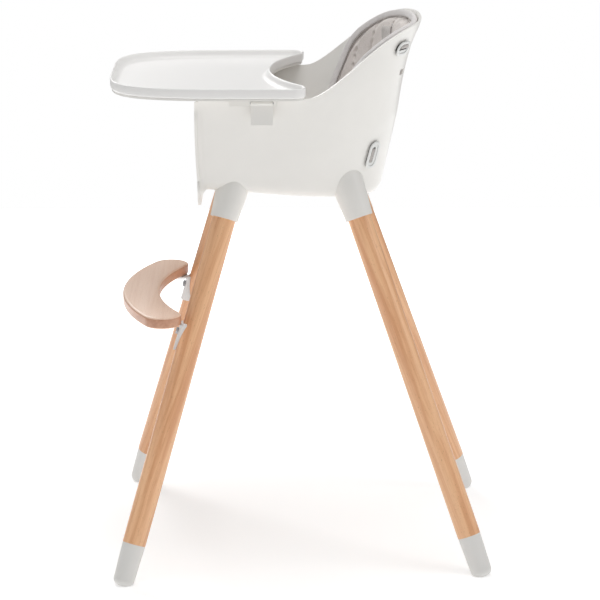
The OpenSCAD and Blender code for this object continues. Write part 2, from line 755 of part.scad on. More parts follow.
on_side(false) waist_strap();  // waist_strap_right
crotch_strap();
shoulder_anchor();  // shoulder_anchor_left
on_side(false) shoulder_anchor();  // shoulder_anchor_right
waist_anchor();  // waist_anchor_left
on_side(false) waist_anchor();  // waist_anchor_right
crotch_anchor();
buckle_body();
buckle_button();
buckle_tongue();  // buckle_tongue_left
on_side(false) buckle_tongue();  // buckle_tongue_right
tray_carrier();
feeding_tray();
tray_latch();  // tray_latch_left
on_side(false) tray_latch();  // tray_latch_right
latch_pin();  // latch_pin_left
on_side(false) latch_pin();  // latch_pin_right
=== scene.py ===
import math

import bmesh
import bpy
import numpy as np
from mathutils import Matrix, Vector


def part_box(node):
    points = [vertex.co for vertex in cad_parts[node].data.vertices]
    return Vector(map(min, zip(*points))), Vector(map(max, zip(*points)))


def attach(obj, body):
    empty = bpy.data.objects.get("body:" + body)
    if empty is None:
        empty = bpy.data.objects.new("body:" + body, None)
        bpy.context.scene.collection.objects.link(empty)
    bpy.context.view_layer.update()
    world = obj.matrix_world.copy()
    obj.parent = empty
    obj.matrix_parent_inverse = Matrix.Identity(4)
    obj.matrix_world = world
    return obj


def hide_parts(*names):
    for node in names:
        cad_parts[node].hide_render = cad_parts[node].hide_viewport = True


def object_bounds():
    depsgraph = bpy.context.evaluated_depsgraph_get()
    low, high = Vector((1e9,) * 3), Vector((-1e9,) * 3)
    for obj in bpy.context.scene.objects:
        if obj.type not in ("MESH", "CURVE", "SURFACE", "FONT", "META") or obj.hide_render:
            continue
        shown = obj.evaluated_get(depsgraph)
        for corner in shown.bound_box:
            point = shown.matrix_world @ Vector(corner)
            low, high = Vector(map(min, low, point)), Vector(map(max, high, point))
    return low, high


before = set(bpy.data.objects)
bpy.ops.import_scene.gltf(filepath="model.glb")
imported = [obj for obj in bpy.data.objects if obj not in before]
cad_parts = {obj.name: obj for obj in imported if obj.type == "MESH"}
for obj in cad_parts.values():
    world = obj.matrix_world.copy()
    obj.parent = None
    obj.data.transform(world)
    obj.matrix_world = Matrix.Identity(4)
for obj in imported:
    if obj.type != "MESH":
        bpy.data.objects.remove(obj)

cad_box = [list(corner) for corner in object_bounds()]
TAU = 2 * math.pi


# ---- camera, floor and light
def set_camera():
    distance = 4.5276
    elevation = math.radians(14.30)
    yaw = math.radians(0.43)
    target = Vector((0, -0.0013, 0.4103))
    away = Vector((math.cos(elevation) * math.cos(yaw), -math.cos(elevation) * math.sin(yaw),
                   math.sin(elevation)))
    data = bpy.data.cameras.new("camera")
    data.sensor_width = 36
    data.lens = 159.55
    camera = bpy.data.objects.new("camera", data)
    camera.location = target + away * distance
    camera.rotation_euler = (-away).to_track_quat("-Z", "Y").to_euler()
    bpy.context.collection.objects.link(camera)
    bpy.context.scene.camera = camera


def set_light():
    def area(name, place, size, power, aim=(0, 0, 0.5)):
        data = bpy.data.lights.new(name, "AREA")
        data.shape = "DISK"
        data.size = size
        data.energy = power
        lamp = bpy.data.objects.new(name, data)
        lamp.location = place
        lamp.rotation_euler = (Vector(aim) - Vector(place)).to_track_quat("-Z", "Y").to_euler()
        bpy.context.collection.objects.link(lamp)

    area("key", (1.2, 2.8, 2.4), 2.0, 20)
    area("top", (0.2, 0.0, 3.4), 2.4, 43)
    area("front", (1.2, -3.0, 1.7), 1.6, 5)
    area("far_side", (-1.9, -1.1, 1.9), 1.6, 23)
    world = bpy.data.worlds.new("studio")
    world.use_nodes = True
    tree = world.node_tree
    surround = tree.nodes["Background"]
    surround.inputs["Color"].default_value = (1, 1, 1, 1)
    surround.inputs["Strength"].default_value = 0.285
    backdrop = tree.nodes.new("ShaderNodeBackground")
    backdrop.inputs["Color"].default_value = (1, 1, 1, 1)
    seen = tree.nodes.new("ShaderNodeLightPath").outputs["Is Camera Ray"]
    either = tree.nodes.new("ShaderNodeMixShader")
    tree.links.new(seen, either.inputs[0])
    tree.links.new(surround.outputs[0], either.inputs[1])
    tree.links.new(backdrop.outputs[0], either.inputs[2])
    tree.links.new(either.outputs[0], tree.nodes["World Output"].inputs["Surface"])
    bpy.context.scene.world = world
    bpy.context.scene.view_settings.view_transform = "Standard"


def set_floor():
    size = 2.6
    corners = [(-size, -size, 0), (size, -size, 0), (size, size, 0), (-size, size, 0)]
    floor = new_object("floor", corners, [(0, 1, 2, 3)])
    clear_of_feet = 0.0002
    floor.location.z = cad_box[0][2] - clear_of_feet
    floor.data.materials.append(floor_paint())


# ---- materials
class Nodes:
    """A material's node tree, with short calls for the nodes that the materials share."""

    def __init__(self, name, colour, roughness, **shader):
        self.material = bpy.data.materials.new(name)
        self.material.use_nodes = True
        self.tree = self.material.node_tree
        self.shader = self.tree.nodes["Principled BSDF"]
        self.shader.inputs["Base Color"].default_value = (*colour, 1)
        self.shader.inputs["Roughness"].default_value = roughness
        for key, value in shader.items():
            self.shader.inputs[key.replace("_", " ")].default_value = value
        self.place = self.add("ShaderNodeTexCoord").outputs["Object"]

    def add(self, kind, **settings):
        node = self.tree.nodes.new(kind)
        for key, value in settings.items():
            setattr(node, key, value)
        return node

    def join(self, source, target):
        self.tree.links.new(source, target)

    def turned(self, direction, stretch):
        """Coordinates with Z along a direction, scaled by stretch."""
        turn = self.add("ShaderNodeMapping", vector_type="POINT")
        spin = Vector(direction).normalized().rotation_difference(Vector((0, 0, 1)))
        turn.inputs["Rotation"].default_value = spin.to_euler()
        self.join(self.place, turn.inputs["Vector"])
        scale = self.add("ShaderNodeMapping", vector_type="POINT")
        scale.inputs["Scale"].default_value = stretch
        self.join(turn.outputs["Vector"], scale.inputs["Vector"])
        return scale.outputs["Vector"]

    def noise(self, scale, detail=3, rough=0.5, where=None, warp=0):
        node = self.add("ShaderNodeTexNoise")
        node.inputs["Scale"].default_value = scale
        node.inputs["Detail"].default_value = detail
        node.inputs["Roughness"].default_value = rough
        node.inputs["Distortion"].default_value = warp
        self.join(where or self.place, node.inputs["Vector"])
        return node.outputs["Fac"]

    def ramp(self, value, *stops):
        node = self.add("ShaderNodeValToRGB")
        while len(node.color_ramp.elements) < len(stops):
            node.color_ramp.elements.new(0.5)
        for element, (at, colour) in zip(node.color_ramp.elements, stops):
            element.position = at
            element.color = (*colour, 1) if not isinstance(colour, float) else (colour,) * 3 + (1,)
        self.join(value, node.inputs["Fac"])
        return node.outputs["Color"]

    def mixed(self, a, b, amount):
        """A colour between a and b. A mix node holds its two colours in sockets 6 and 7."""
        node = self.add("ShaderNodeMix", data_type="RGBA")
        for value, socket in ((amount, node.inputs[0]), (a, node.inputs[6]), (b, node.inputs[7])):
            if isinstance(value, (int, float)):
                socket.default_value = value
            elif isinstance(value, tuple):
                socket.default_value = (*value, 1)
            else:
                self.join(value, socket)
        return node.outputs[2]

    def maths(self, operation, a, b=0.0):
        node = self.add("ShaderNodeMath", operation=operation)
        for value, socket in ((a, node.inputs[0]), (b, node.inputs[1])):
            if isinstance(value, (int, float)):
                socket.default_value = value
            else:
                self.join(value, socket)
        return node.outputs[0]

    def bump(self, height, strength, distance):
        node = self.add("ShaderNodeBump")
        node.inputs["Strength"].default_value = strength
        node.inputs["Distance"].default_value = distance
        self.join(height, node.inputs["Height"])
        self.join(node.outputs["Normal"], self.shader.inputs["Normal"])

    def colour(self, source):
        self.join(source, self.shader.inputs["Base Color"])

    def roughness(self, source):
        self.join(source, self.shader.inputs["Roughness"])


def floor_paint():
    """White paper that glows more the further out it is, so that it has no horizon."""
    n = Nodes("floor_paint", (0.92, 0.92, 0.92), 0.9)
    n.colour(n.ramp(n.noise(3), (0.3, (0.915, 0.915, 0.915)), (0.7, (0.925, 0.925, 0.925))))
    n.shader.inputs["Emission Color"].default_value = (1, 1, 1, 1)
    away = n.add("ShaderNodeVectorMath", operation="LENGTH")
    n.join(n.place, away.inputs[0])
    per_metre = 0.4
    share = n.maths("MULTIPLY", away.outputs["Value"], per_metre)
    n.join(n.ramp(share, (0.12, 0.30), (0.75, 1.0)), n.shader.inputs["Emission Strength"])
    return n.material


def moulded(name, colour, rough, grain=0.02, fleck=0.012, uneven=0.13, fine=0.2):
    """Moulded plastic: a faint mottle, uneven gloss, and a fine spark-eroded grain."""
    n = Nodes(name, colour, rough, IOR=1.49)
    low = tuple(c * (1 - fleck) for c in colour)
    n.colour(n.ramp(n.noise(35, 4), (0.35, low), (0.65, colour)))
    n.roughness(n.ramp(n.noise(18, 5, 0.6), (0.3, rough * (1 - uneven)), (0.7, rough * (1 + uneven))))
    flow = n.noise(22, 2)
    sparks = n.noise(1500, 2)
    height = n.maths("ADD", n.maths("MULTIPLY", flow, 1 - fine), n.maths("MULTIPLY", sparks, fine))
    n.bump(height, grain, 0.001)
    return n.material


def beech(name, along, light, dark, rough=0.36):
    """Lacquered beech: long soft streaks, fine fibre and short dark flecks along the grain."""
    n = Nodes(name, light, rough, Coat_Weight=0.25, Coat_Roughness=0.28)
    streaks = n.noise(1, 5, 0.60, n.turned(along, (95, 95, 2.2)), 0.5)
    fibre = n.noise(1, 3, 0.6, n.turned(along, (1100, 1100, 26)))
    fleck = n.noise(1, 1, 0.4, n.turned(along, (900, 900, 210)))
    middle = tuple((a + b) / 2 for a, b in zip(light, dark))
    wood = n.ramp(streaks, (0.38, dark), (0.49, middle), (0.60, light))
    wood = n.mixed(wood, n.ramp(fibre, (0.3, tuple(c * 0.86 for c in middle)), (0.7, light)), 0.28)
    spots = n.ramp(fleck, (0.69, 0.0), (0.75, 0.5))
    n.colour(n.mixed(wood, tuple(c * 0.52 for c in dark), spots))
    n.roughness(n.ramp(fibre, (0.3, rough * 1.2), (0.7, rough * 0.9)))
    n.bump(fibre, 0.12, 0.0004)
    return n.material


def woven(name, colour, dark, thread=0.0011, melange=0.5):
    """Woven cloth on a piece that carries its own flat coordinates, in metres, in the map "weave"."""
    n = Nodes(name, colour, 0.88, Sheen_Weight=0.25, Sheen_Roughness=0.5)
    flat = n.add("ShaderNodeUVMap", uv_map="weave").outputs["UV"]
    split = n.add("ShaderNodeSeparateXYZ")
    n.join(flat, split.inputs["Vector"])
    turns = TAU / (2 * thread)
    warp = n.maths("SINE", n.maths("MULTIPLY", split.outputs["X"], turns))
    weft = n.maths("SINE", n.maths("MULTIPLY", split.outputs["Y"], turns))
    raised = n.maths("ABSOLUTE", n.maths("MULTIPLY", warp, weft))
    yarn = n.noise(900, 3, 0.7)
    cloud = n.noise(60, 4, 0.6)
    flecked = n.ramp(yarn, (0.36, dark), (0.62, colour))
    clouded = n.ramp(cloud, (0.3, dark), (0.6, colour))
    tone = n.mixed(flecked, clouded, 1 - melange)
    # Where the weave is low, between the yarns, the colour turns darker: painted shade in the weave's
    # hollows.
    n.colour(n.mixed(tone, tuple(c * 0.78 for c in dark), n.ramp(raised, (0.0, 0.45), (0.35, 0.0))))
    n.bump(n.maths("ADD", raised, n.maths("MULTIPLY", yarn, 0.5)), 0.5, 0.0005)
    return n.material


def zinc(name):
    """Zinc-plated steel with faint blotches."""
    n = Nodes(name, (0.42, 0.42, 0.44), 0.38, Metallic=1.0)
    n.colour(n.ramp(n.noise(260, 4), (0.3, (0.34, 0.34, 0.36)), (0.7, (0.50, 0.50, 0.52))))
    n.roughness(n.ramp(n.noise(500, 3), (0.3, 0.30), (0.7, 0.48)))
    n.bump(n.noise(900, 2), 0.08, 0.0003)
    return n.material


def leg_line(node):
    """The direction of a leg, from the far ends of its box."""
    low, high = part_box(node)
    side = 1 if high[0] > 0 and low[0] > 0 else -1
    front = low[1] + high[1] < 0
    spread = (high[0] - low[0], high[1] - low[1])
    return (-side * spread[0], spread[1] if front else -spread[1], high[2] - low[2])


LEGS = [f"leg_{end}_{side}" for end in ("front", "rear") for side in ("left", "right")]
WOOD_LIGHT = (0.95, 0.575, 0.325)
WOOD_DARK = (0.70, 0.325, 0.155)
MAT = {
    "shell": moulded("shell_white", (0.85, 0.835, 0.80), 0.34),
    "tray": moulded("tray_white", (0.885, 0.875, 0.86), 0.36, 0.012, 0.006, 0.03, 0.0),
    "foot": moulded("foot_white", (0.78, 0.77, 0.745), 0.42, 0.05),
    "bracket": moulded("bracket_white", (0.76, 0.76, 0.76), 0.4, 0.05),
    "anchor": moulded("anchor_grey", (0.78, 0.785, 0.77), 0.45, 0.06),
    "buckle": moulded("buckle_grey", (0.36, 0.365, 0.37), 0.42, 0.06),
    "button": moulded("button_grey", (0.12, 0.12, 0.125), 0.4, 0.06),
    # Black, for the foot glides and for the rings of painted shadow under the harness anchors.
    "glide": moulded("glides_and_painted_shadow_black", (0.09, 0.09, 0.09), 0.7, 0.1),
    "zinc": zinc("zinc_plate"),
    "pad": woven("pad_cloth", (0.82, 0.765, 0.73), (0.70, 0.645, 0.61)),
    "binding": woven("binding_cloth", (0.84, 0.81, 0.80), (0.72, 0.69, 0.68), 0.0009),
    "thread": woven("seam_thread", (0.33, 0.30, 0.28), (0.26, 0.24, 0.225), 0.0006),
    "channel": woven("channel_thread", (0.70, 0.65, 0.62), (0.60, 0.555, 0.525), 0.0006),
    "webbing": woven("harness_webbing", (0.60, 0.565, 0.54), (0.47, 0.44, 0.42), 0.0009, 0.3),
    # The footrest's beech comes in two copies: a lighter one on the top, painted light, and a darker one on
    # the sides, painted shade.
    "board": beech("board_beech", (1, 0, 0), (0.93, 0.68, 0.53), (0.85, 0.58, 0.43)),
    "board_edge": beech("board_edge_beech", (1, 0, 0), (0.66, 0.36, 0.23), (0.52, 0.25, 0.15)),
}


# ---- mesh helpers
def new_object(name, verts, faces):
    """A mesh object in the scene, with no material and no body yet."""
    mesh = bpy.data.meshes.new(name)
    mesh.from_pydata([tuple(v) for v in verts], [], faces)
    obj = bpy.data.objects.new(name, mesh)
    bpy.context.collection.objects.link(obj)
    return obj


def piece(name, verts, faces, material, body="chair", smooth=35):
    """A new mesh object that rides on a body and takes its finish from a slot."""
    obj = new_object(name, verts, faces)
    obj.data.validate()
    obj.data.materials.append(MAT[material])
    tidy(obj, smooth)
    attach(obj, body)
    return obj


def tidy(obj, smooth):
    """Joins points that meet, turns the faces outwards, and smooths all but sharp edges."""
    bm = bmesh.new()
    bm.from_mesh(obj.data)
    bmesh.ops.remove_doubles(bm, verts=bm.verts, dist=1e-6)
    bmesh.ops.dissolve_degenerate(bm, edges=bm.edges, dist=1e-7)
    bmesh.ops.recalc_face_normals(bm, faces=bm.faces)
    bm.to_mesh(obj.data)
    bm.free()
    obj.data.shade_smooth()
    if smooth:
        obj.data.set_sharp_from_angle(angle=math.radians(smooth))


def bevel(obj, width, segments=3, angle=40):
    mod = obj.modifiers.new("edges", "BEVEL")
    mod.width = width
    mod.segments = segments
    mod.limit_method = "ANGLE"
    mod.angle_limit = math.radians(angle)


def apply_all(obj):
    """Replaces the mesh by what its modifiers make of it."""
    depsgraph = bpy.context.evaluated_depsgraph_get()
    mesh = bpy.data.meshes.new_from_object(obj.evaluated_get(depsgraph))
    obj.modifiers.clear()
    old = obj.data
    obj.data = mesh
    mesh.name = obj.name
    bpy.data.meshes.remove(old)


def cut(obj, cutters):
    """Cuts the cutters out of obj and deletes them."""
    for cutter in cutters:
        mod = obj.modifiers.new("cut", "BOOLEAN")
        mod.operation = "DIFFERENCE"
        mod.solver = "EXACT"
        mod.object = cutter
    apply_all(obj)
    for cutter in cutters:
        bpy.data.objects.remove(cutter)


def loose_block(shape, matrix, depth):
    """A prism over a flat outline, centred on the matrix, for cutting."""
    rings = [[matrix @ Vector((x, y, z)) for x, y in shape] for z in (-depth / 2, depth / 2)]
    return new_object("block", *skin(rings))


def stadium(length, width, steps=10):
    """Outline with round ends, anticlockwise."""
    r = width / 2
    run = length / 2 - r
    right = [(run + r * math.sin(a), -r * math.cos(a)) for a in np.linspace(0, math.pi, steps)]
    return right + [(-x, -y) for x, y in right]


def skin(rings, caps=True):
    """Verts and faces of a skin over rings of points of equal number."""
    n = len(rings[0])
    verts = [p for ring in rings for p in ring]
    faces = []
    for i in range(len(rings) - 1):
        for j in range(n):
            k = (j + 1) % n
            faces.append((i * n + j, i * n + k, (i + 1) * n + k, (i + 1) * n + j))
    if caps:
        faces.append(tuple(range(n - 1, -1, -1)))
        faces.append(tuple(range((len(rings) - 1) * n, len(rings) * n)))
    return verts, faces


def stacked(outline, profile, matrix):
    """Rings for a skin: the outline at each inset and height of a profile, placed by the matrix."""
    return [[matrix @ Vector((x, y, z)) for x, y in outline(inset)] for inset, z in profile]


def paint(name, material):
    """Gives a CAD node a material in every slot."""
    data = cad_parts[name].data
    if not data.materials:
        data.materials.append(MAT[material])
    for i in range(len(data.materials)):
        data.materials[i] = MAT[material]


# ---- shell surface
# The same surface as the CAD model's, in metres. The shell, the pads and the harness all follow it.
WALL = 0.004
ARM_Z = 0.7865
TOP_Z = 0.897
TOP_Y = 0.2035
RIM_START = 0.010
TOP_CLOSE = 0.0138
TOP_FLARE = 0.0045
TURN_Y = -0.040
SPINE_END = 0.084
PAN_Z = 0.6105
PAN_SLOPE = 0.09
CORNER_R = 0.018
FRONT_Y = -0.173
LIP_LEN = 0.013
LIP_OUT = 0.006
LIP_DROP = 0.006         # how far the rim falls at the front lip
LIP_EASE = 0.012         # length behind the lip over which it begins to fall
APRON_DROP = 0.027
SIDE_FOOT = (0.115, 0.622)    # half width low down on the walls, and the height where it is taken
SIDE_FLARE = 0.363
BACK_FOOT = (0.137, 0.627)    # y low down on the back, and the height where it is taken
BACK_FLARE = 0.215
BOW = 0.005              # how far the walls' front edge bows back at the level of the pan
BOW_TOP = 0.740
BOW_TALL = 0.130
BOW_FROM = -0.068        # y where the bow begins, and its run to the front
BOW_RUN = 0.088


def clamp(t):
    return np.clip(t, 0.0, 1.0)


def ease(t):
    t = clamp(t)
    return t * t * (3 - 2 * t)


def mix(a, b, t):
    return a + (b - a) * t


def side_at(z):
    half_w, foot_z = SIDE_FOOT
    return half_w + (z - foot_z) * SIDE_FLARE - TOP_CLOSE * ease((z - 0.800) / 0.096)


def back_at(z):
    foot_y, foot_z = BACK_FOOT
    hollow = 0.004 * np.sin(math.pi * clamp((z - 0.740) / 0.150))
    return foot_y + (z - foot_z) * BACK_FLARE - hollow + TOP_FLARE * ease((z - 0.850) / 0.046)


def square_at(z):
    """Power of the wall's outline in plan, 2 for an ellipse; it grows squarer with height."""
    return 2 + 0.58 * clamp((z - 0.622) / 0.270)


def pan_at(y):
    return PAN_Z - PAN_SLOPE * y


def front_bow(z):
    return BOW * ((BOW_TOP - z) / BOW_TALL) ** 2


def rim_at(y):
    drop = clamp((FRONT_Y + LIP_LEN + LIP_EASE - y) / (LIP_LEN + LIP_EASE))
    rise = (max(y - RIM_START, 0) / (TOP_Y - RIM_START)) ** 0.83
    return ARM_Z + (TOP_Z - ARM_Z) * ease(rise) - LIP_DROP * drop ** 2


def round_point(turn, z, inset):
    """Point of the left wall at a turn round the back, in degrees, and a height."""
    power = 2 / square_at(z)
    c, s = math.cos(math.radians(turn)), math.sin(math.radians(turn))
    return Vector(((side_at(z) - inset) * max(c, 0) ** power,
                   TURN_Y + (back_at(z) - inset - TURN_Y) * max(s, 0) ** power, z))


class Ray:
    """A section through the shell's left half, from the pan's middle line out to the wall and up it."""

    def __init__(self, turn=0.0, y=TURN_Y, lip=0.0, bow=0.0):
        self.turn, self.y, self.lip, self.bow = turn, y, lip, bow

    def spine(self):
        if self.turn > 0:
            return mix(TURN_Y, SPINE_END, math.sin(math.radians(self.turn)))
        return self.y + self.bow * front_bow(PAN_Z)

    def wall(self, z, inset):
        if self.turn > 0:
            return round_point(self.turn, z, inset)
        return Vector((side_at(z) - inset, self.y + self.bow * front_bow(z), z))

    def rim(self):
        z = ARM_Z
        for _ in range(8):
            z = rim_at(self.wall(z, 0).y)
        return z

    def lipped(self, p, out, size, inset):
        c = math.sqrt(max(0, 1 - self.lip ** 2))
        return p + Vector(out) * (size + inset) * (1 - c) - Vector((0, inset * self.lip, 0))

    def section(self, inset, pan_steps=8, corner_steps=9, wall_steps=26):
        """Points from the middle of the pan to the rim."""
        cr = CORNER_R - inset
        foot = self.wall(pan_at(self.spine()), inset)
        inward = Vector((-foot.x, self.spine() - foot.y))
        way = inward / max(inward.length, 1e-6)
        edge = Vector((foot.x, foot.y)) + way * cr
        floor_z = pan_at(edge.y) + inset
        points = []
        for i in range(pan_steps):
            f = i / pan_steps
            y = mix(self.spine(), edge.y, f)
            points.append(self.lipped(Vector((edge.x * f, y, pan_at(y) + inset)), (0, 0, -1),
                                      APRON_DROP, inset))
        for i in range(corner_steps):
            b = math.pi / 2 * i / (corner_steps - 1)
            w = self.wall(floor_z + cr * (1 - math.cos(b)), inset)
            pull = way * cr * (1 - math.sin(b))
            points.append(self.lipped(w + Vector((pull.x, pull.y, 0)), (math.sin(b), 0, -math.cos(b)),
                                      mix(LIP_OUT, APRON_DROP, math.cos(b)), inset))
        low, top = floor_z + cr, self.rim()
        for i in range(1, wall_steps + 1):
            z = mix(low, top, i / wall_steps)
            points.append(self.lipped(self.wall(z, inset), (1, 0, 0),
                                      LIP_OUT * (1 - ease((z - 0.750) / 0.020)), inset))
        return points


def both_halves(half):
    """A row from the right rim, under the pan, to the left rim."""
    return [Vector((-p.x, p.y, p.z)) for p in reversed(half[1:])] + half


def wall_frame(turn, z, depth=0.0):
    """Matrix on the shell's left outside: X sideways towards the back, Y up the wall, Z outwards."""
    side = round_point(turn + 0.5, z, 0) - round_point(turn - 0.5, z, 0)
    up = round_point(turn, z + 0.001, 0) - round_point(turn, z - 0.001, 0)
    out = side.cross(up).normalized()
    x = side.normalized()
    y = out.cross(x)
    m = Matrix((x, y, out)).transposed().to_4x4()
    m.translation = round_point(turn, z, 0) - out * depth
    return m


def pan_frame(y, lift=0.0):
    """Matrix on the inside of the pan: Y back along it, Z square to it."""
    m = Matrix.Rotation(-math.atan(PAN_SLOPE), 4, "X")
    m.translation = Vector((0, y, pan_at(y) + WALL)) + m.to_3x3() @ Vector((0, 0, lift))
    return m


FLIP = Matrix.Scale(-1, 4, (1, 0, 0))
SIDES = (("left", Matrix.Identity(4)), ("right", FLIP))
SHOULDER = (61, 0.860)
WAIST = (55, 0.679)
SPARE_SLOT = (73, 0.814)
CROTCH_Y = -0.062
STRAP_W = 0.025
STRAP_SLOT = (0.029, 0.0065)
SPARE_SLOT_SIZE = (0.026, 0.010)
QUARTER = Matrix.Rotation(math.pi / 2, 4, "Z")


def build_shell():
    lips = [Ray(y=FRONT_Y + WALL + LIP_LEN * (1 - math.sin(a)), lip=math.sin(a), bow=1)
            for a in np.linspace(math.pi / 2, 0, 13)]
    sides = [Ray(y=y, bow=clamp((BOW_FROM - y) / BOW_RUN) ** 1.2)
             for y in np.linspace(-0.148, TURN_Y, 14)]
    backs = [Ray(turn=a) for a in np.linspace(2.5, 90, 36)]
    rays = lips + sides + backs
    outer = [both_halves(r.section(0)) for r in rays]
    inner = [both_halves(r.section(WALL)) for r in rays]
    n, rows = len(outer[0]), len(outer)
    verts = [p for g in (outer, inner) for row in g for p in row]

    def at(s, i, j):
        return (s * rows + i) * n + j

    faces = []
    for i in range(rows - 1):
        for j in range(n - 1):
            faces.append((at(0, i, j), at(0, i + 1, j), at(0, i + 1, j + 1), at(0, i, j + 1)))
            faces.append((at(1, i, j), at(1, i, j + 1), at(1, i + 1, j + 1), at(1, i + 1, j)))
        faces.append((at(0, i, 0), at(1, i, 0), at(1, i + 1, 0), at(0, i + 1, 0)))
        faces.append((at(0, i, n - 1), at(0, i + 1, n - 1), at(1, i + 1, n - 1), at(1, i, n - 1)))
    faces += [(at(0, 0, j), at(0, 0, j + 1), at(1, 0, j + 1), at(1, 0, j)) for j in range(n - 1)]
    shell = piece("shell", verts, faces, "shell", smooth=50)
    through = 0.05
    blocks = []
    for _, flip in SIDES:
        blocks.append(loose_block(stadium(*STRAP_SLOT), flip @ wall_frame(*SHOULDER), through))
        blocks.append(loose_block(stadium(*SPARE_SLOT_SIZE), flip @ wall_frame(*SPARE_SLOT), through))
        blocks.append(loose_block(stadium(*STRAP_SLOT), flip @ wall_frame(*WAIST) @ QUARTER, through))
    blocks.append(loose_block(stadium(*STRAP_SLOT), pan_frame(CROTCH_Y), through))
    cut(shell, blocks)
    tidy(shell, 40)
    bevel(shell, 0.0011, 3, 45)
    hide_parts("seat_shell")


# ---- tray
TRAY_W = 0.204
TRAY_REACH = 0.314
TIP_R = 0.0205           # radius of the tips beside the hollow for the belly
TIP_Y = -0.014
BELLY_HALF_W = 0.166     # half width of that hollow
BELLY_R = 0.279
BELLY_FRONT = -0.051
CORNER_BEND = 0.45       # power that rounds the tray's front corners, 1 for an ellipse


def tray_outline(inset):
    """The tray's outline in plan, anticlockwise from the front, set in by inset."""
    w, reach = TRAY_W - inset, TRAY_REACH - inset
    half = []
    for a in np.radians(np.linspace(90, 1.2, 48)):
        half.append((w * math.cos(a) ** CORNER_BEND, -reach * math.sin(a) ** CORNER_BEND))
    tip_r = TIP_R - inset
    for a in np.radians(np.linspace(0, 120, 15)):
        half.append((TRAY_W - TIP_R + tip_r * math.cos(a), TIP_Y + tip_r * math.sin(a)))
    turn = math.asin(BELLY_HALF_W / BELLY_R)
    belly_r = BELLY_R + inset
    for a in np.linspace(-math.pi / 2 + turn, -math.pi / 2, 32):
        half.append((belly_r * math.cos(a), BELLY_FRONT + BELLY_R + belly_r * math.sin(a)))
    half[0] = (0, half[0][1])
    half[-1] = (0, half[-1][1])
    return half + [(-x, y) for x, y in reversed(half[1:-1])]


def build_tray():
    low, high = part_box("feeding_tray")
    base, top = low[2], high[2]
    floor = base + 0.003
    outside = [(0.0045, base), (0.0030, base), (0.0018, base + 0.0003), (0.0009, base + 0.0011),
               (0.0004, base + 0.0022), (0.0001, base + 0.0045)]
    rim = [(0.0, top - 0.0022), (0.0002, top - 0.0010), (0.0010, top - 0.0002), (0.0018, top),
           (0.0027, top - 0.0003), (0.0036, top - 0.0015)]
    inside = [(0.0048, top - 0.0045), (0.0062, top - 0.0080), (0.0082, top - 0.0106),
              (0.0110, floor + 0.0006), (0.0140, floor + 0.0001), (0.0165, floor)]
    verts, faces = skin(stacked(tray_outline, outside + rim + inside, Matrix.Identity(4)))
    tray = piece("tray_bowl", verts, faces, "tray", body="feeding_tray", smooth=60)
    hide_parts("feeding_tray")


# ---- footrest
BOARD_CENTRE_Y = 0.1235  # centre of the crescent's curve
BOARD_R = 0.394          # radius of its middle line
BOARD_HALF_W = 0.031
BOARD_TURN = math.radians(26.9)
BOARD_EDGE = 0.0045      # radius along the board's edges
EDGE_TILT = 0.6          # faces whose normal rises less than this take the darker copy of the beech, painted shade on the board's sides


def build_footrest():
    low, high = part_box("footrest_board")
    base, top = low[2], high[2]

    def ring(inset, z):
        r = BOARD_HALF_W - inset
        end_x = BOARD_R * math.sin(BOARD_TURN)
        end_y = BOARD_CENTRE_Y - BOARD_R * math.cos(BOARD_TURN)

        def long_edge(radius, turns):
            return [(radius * math.sin(a), BOARD_CENTRE_Y - radius * math.cos(a), z) for a in turns]

        def round_end(x, turns):
            return [(x + r * math.cos(b), end_y + r * math.sin(b), z) for b in turns[1:-1]]

        out = long_edge(BOARD_R + r, np.linspace(-BOARD_TURN, BOARD_TURN, 60))
        out += round_end(end_x, np.linspace(-math.pi / 2 + BOARD_TURN, math.pi / 2 + BOARD_TURN, 26))
        out += long_edge(BOARD_R - r, np.linspace(BOARD_TURN, -BOARD_TURN, 60))
        out += round_end(-end_x, np.linspace(math.pi / 2 - BOARD_TURN, 1.5 * math.pi - BOARD_TURN, 26))
        return out

    edge = BOARD_EDGE
    arcs = [(edge * (1 - math.sin(a)), edge * (1 - math.cos(a))) for a in np.linspace(0, math.pi / 2, 7)]
    rings = [ring(i, base + d) for i, d in arcs] + [ring(i, top - d) for i, d in reversed(arcs)]
    verts, faces = skin(rings)
    board = piece("footrest", verts, faces, "board", smooth=50)
    # Faces that rise steeply keep the lighter beech, painted light; the sides take the darker copy, painted
    # shade.
    board.data.materials.append(MAT["board_edge"])
    for face in board.data.polygons:
        face.material_index = int(abs(face.normal.z) < EDGE_TILT)
    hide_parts("footrest_board")


# ---- soft pieces
def weave_map(obj, flat):
    """Stores flat coordinates in metres, one pair for each point, as the map that woven() reads."""
    layer = obj.data.uv_layers.get("weave") or obj.data.uv_layers.new(name="weave")
    corners = np.empty(len(obj.data.loops), dtype=np.int32)
    obj.data.loops.foreach_get("vertex_index", corners)
    layer.data.foreach_set("uv", np.asarray(flat, dtype=np.float32)[corners].ravel())


def points_of(obj):
    flat = np.empty(len(obj.data.vertices) * 3, dtype=np.float32)
    obj.data.vertices.foreach_get("co", flat)
    return flat.reshape(-1, 3).astype(float)


def put_points(obj, points):
    obj.data.vertices.foreach_set("co", points.astype(np.float32).ravel())
    obj.data.update()


def remesh(obj, voxel):
    mod = obj.modifiers.new("remesh", "REMESH")
    mod.mode = "VOXEL"
    mod.voxel_size = voxel
    apply_all(obj)


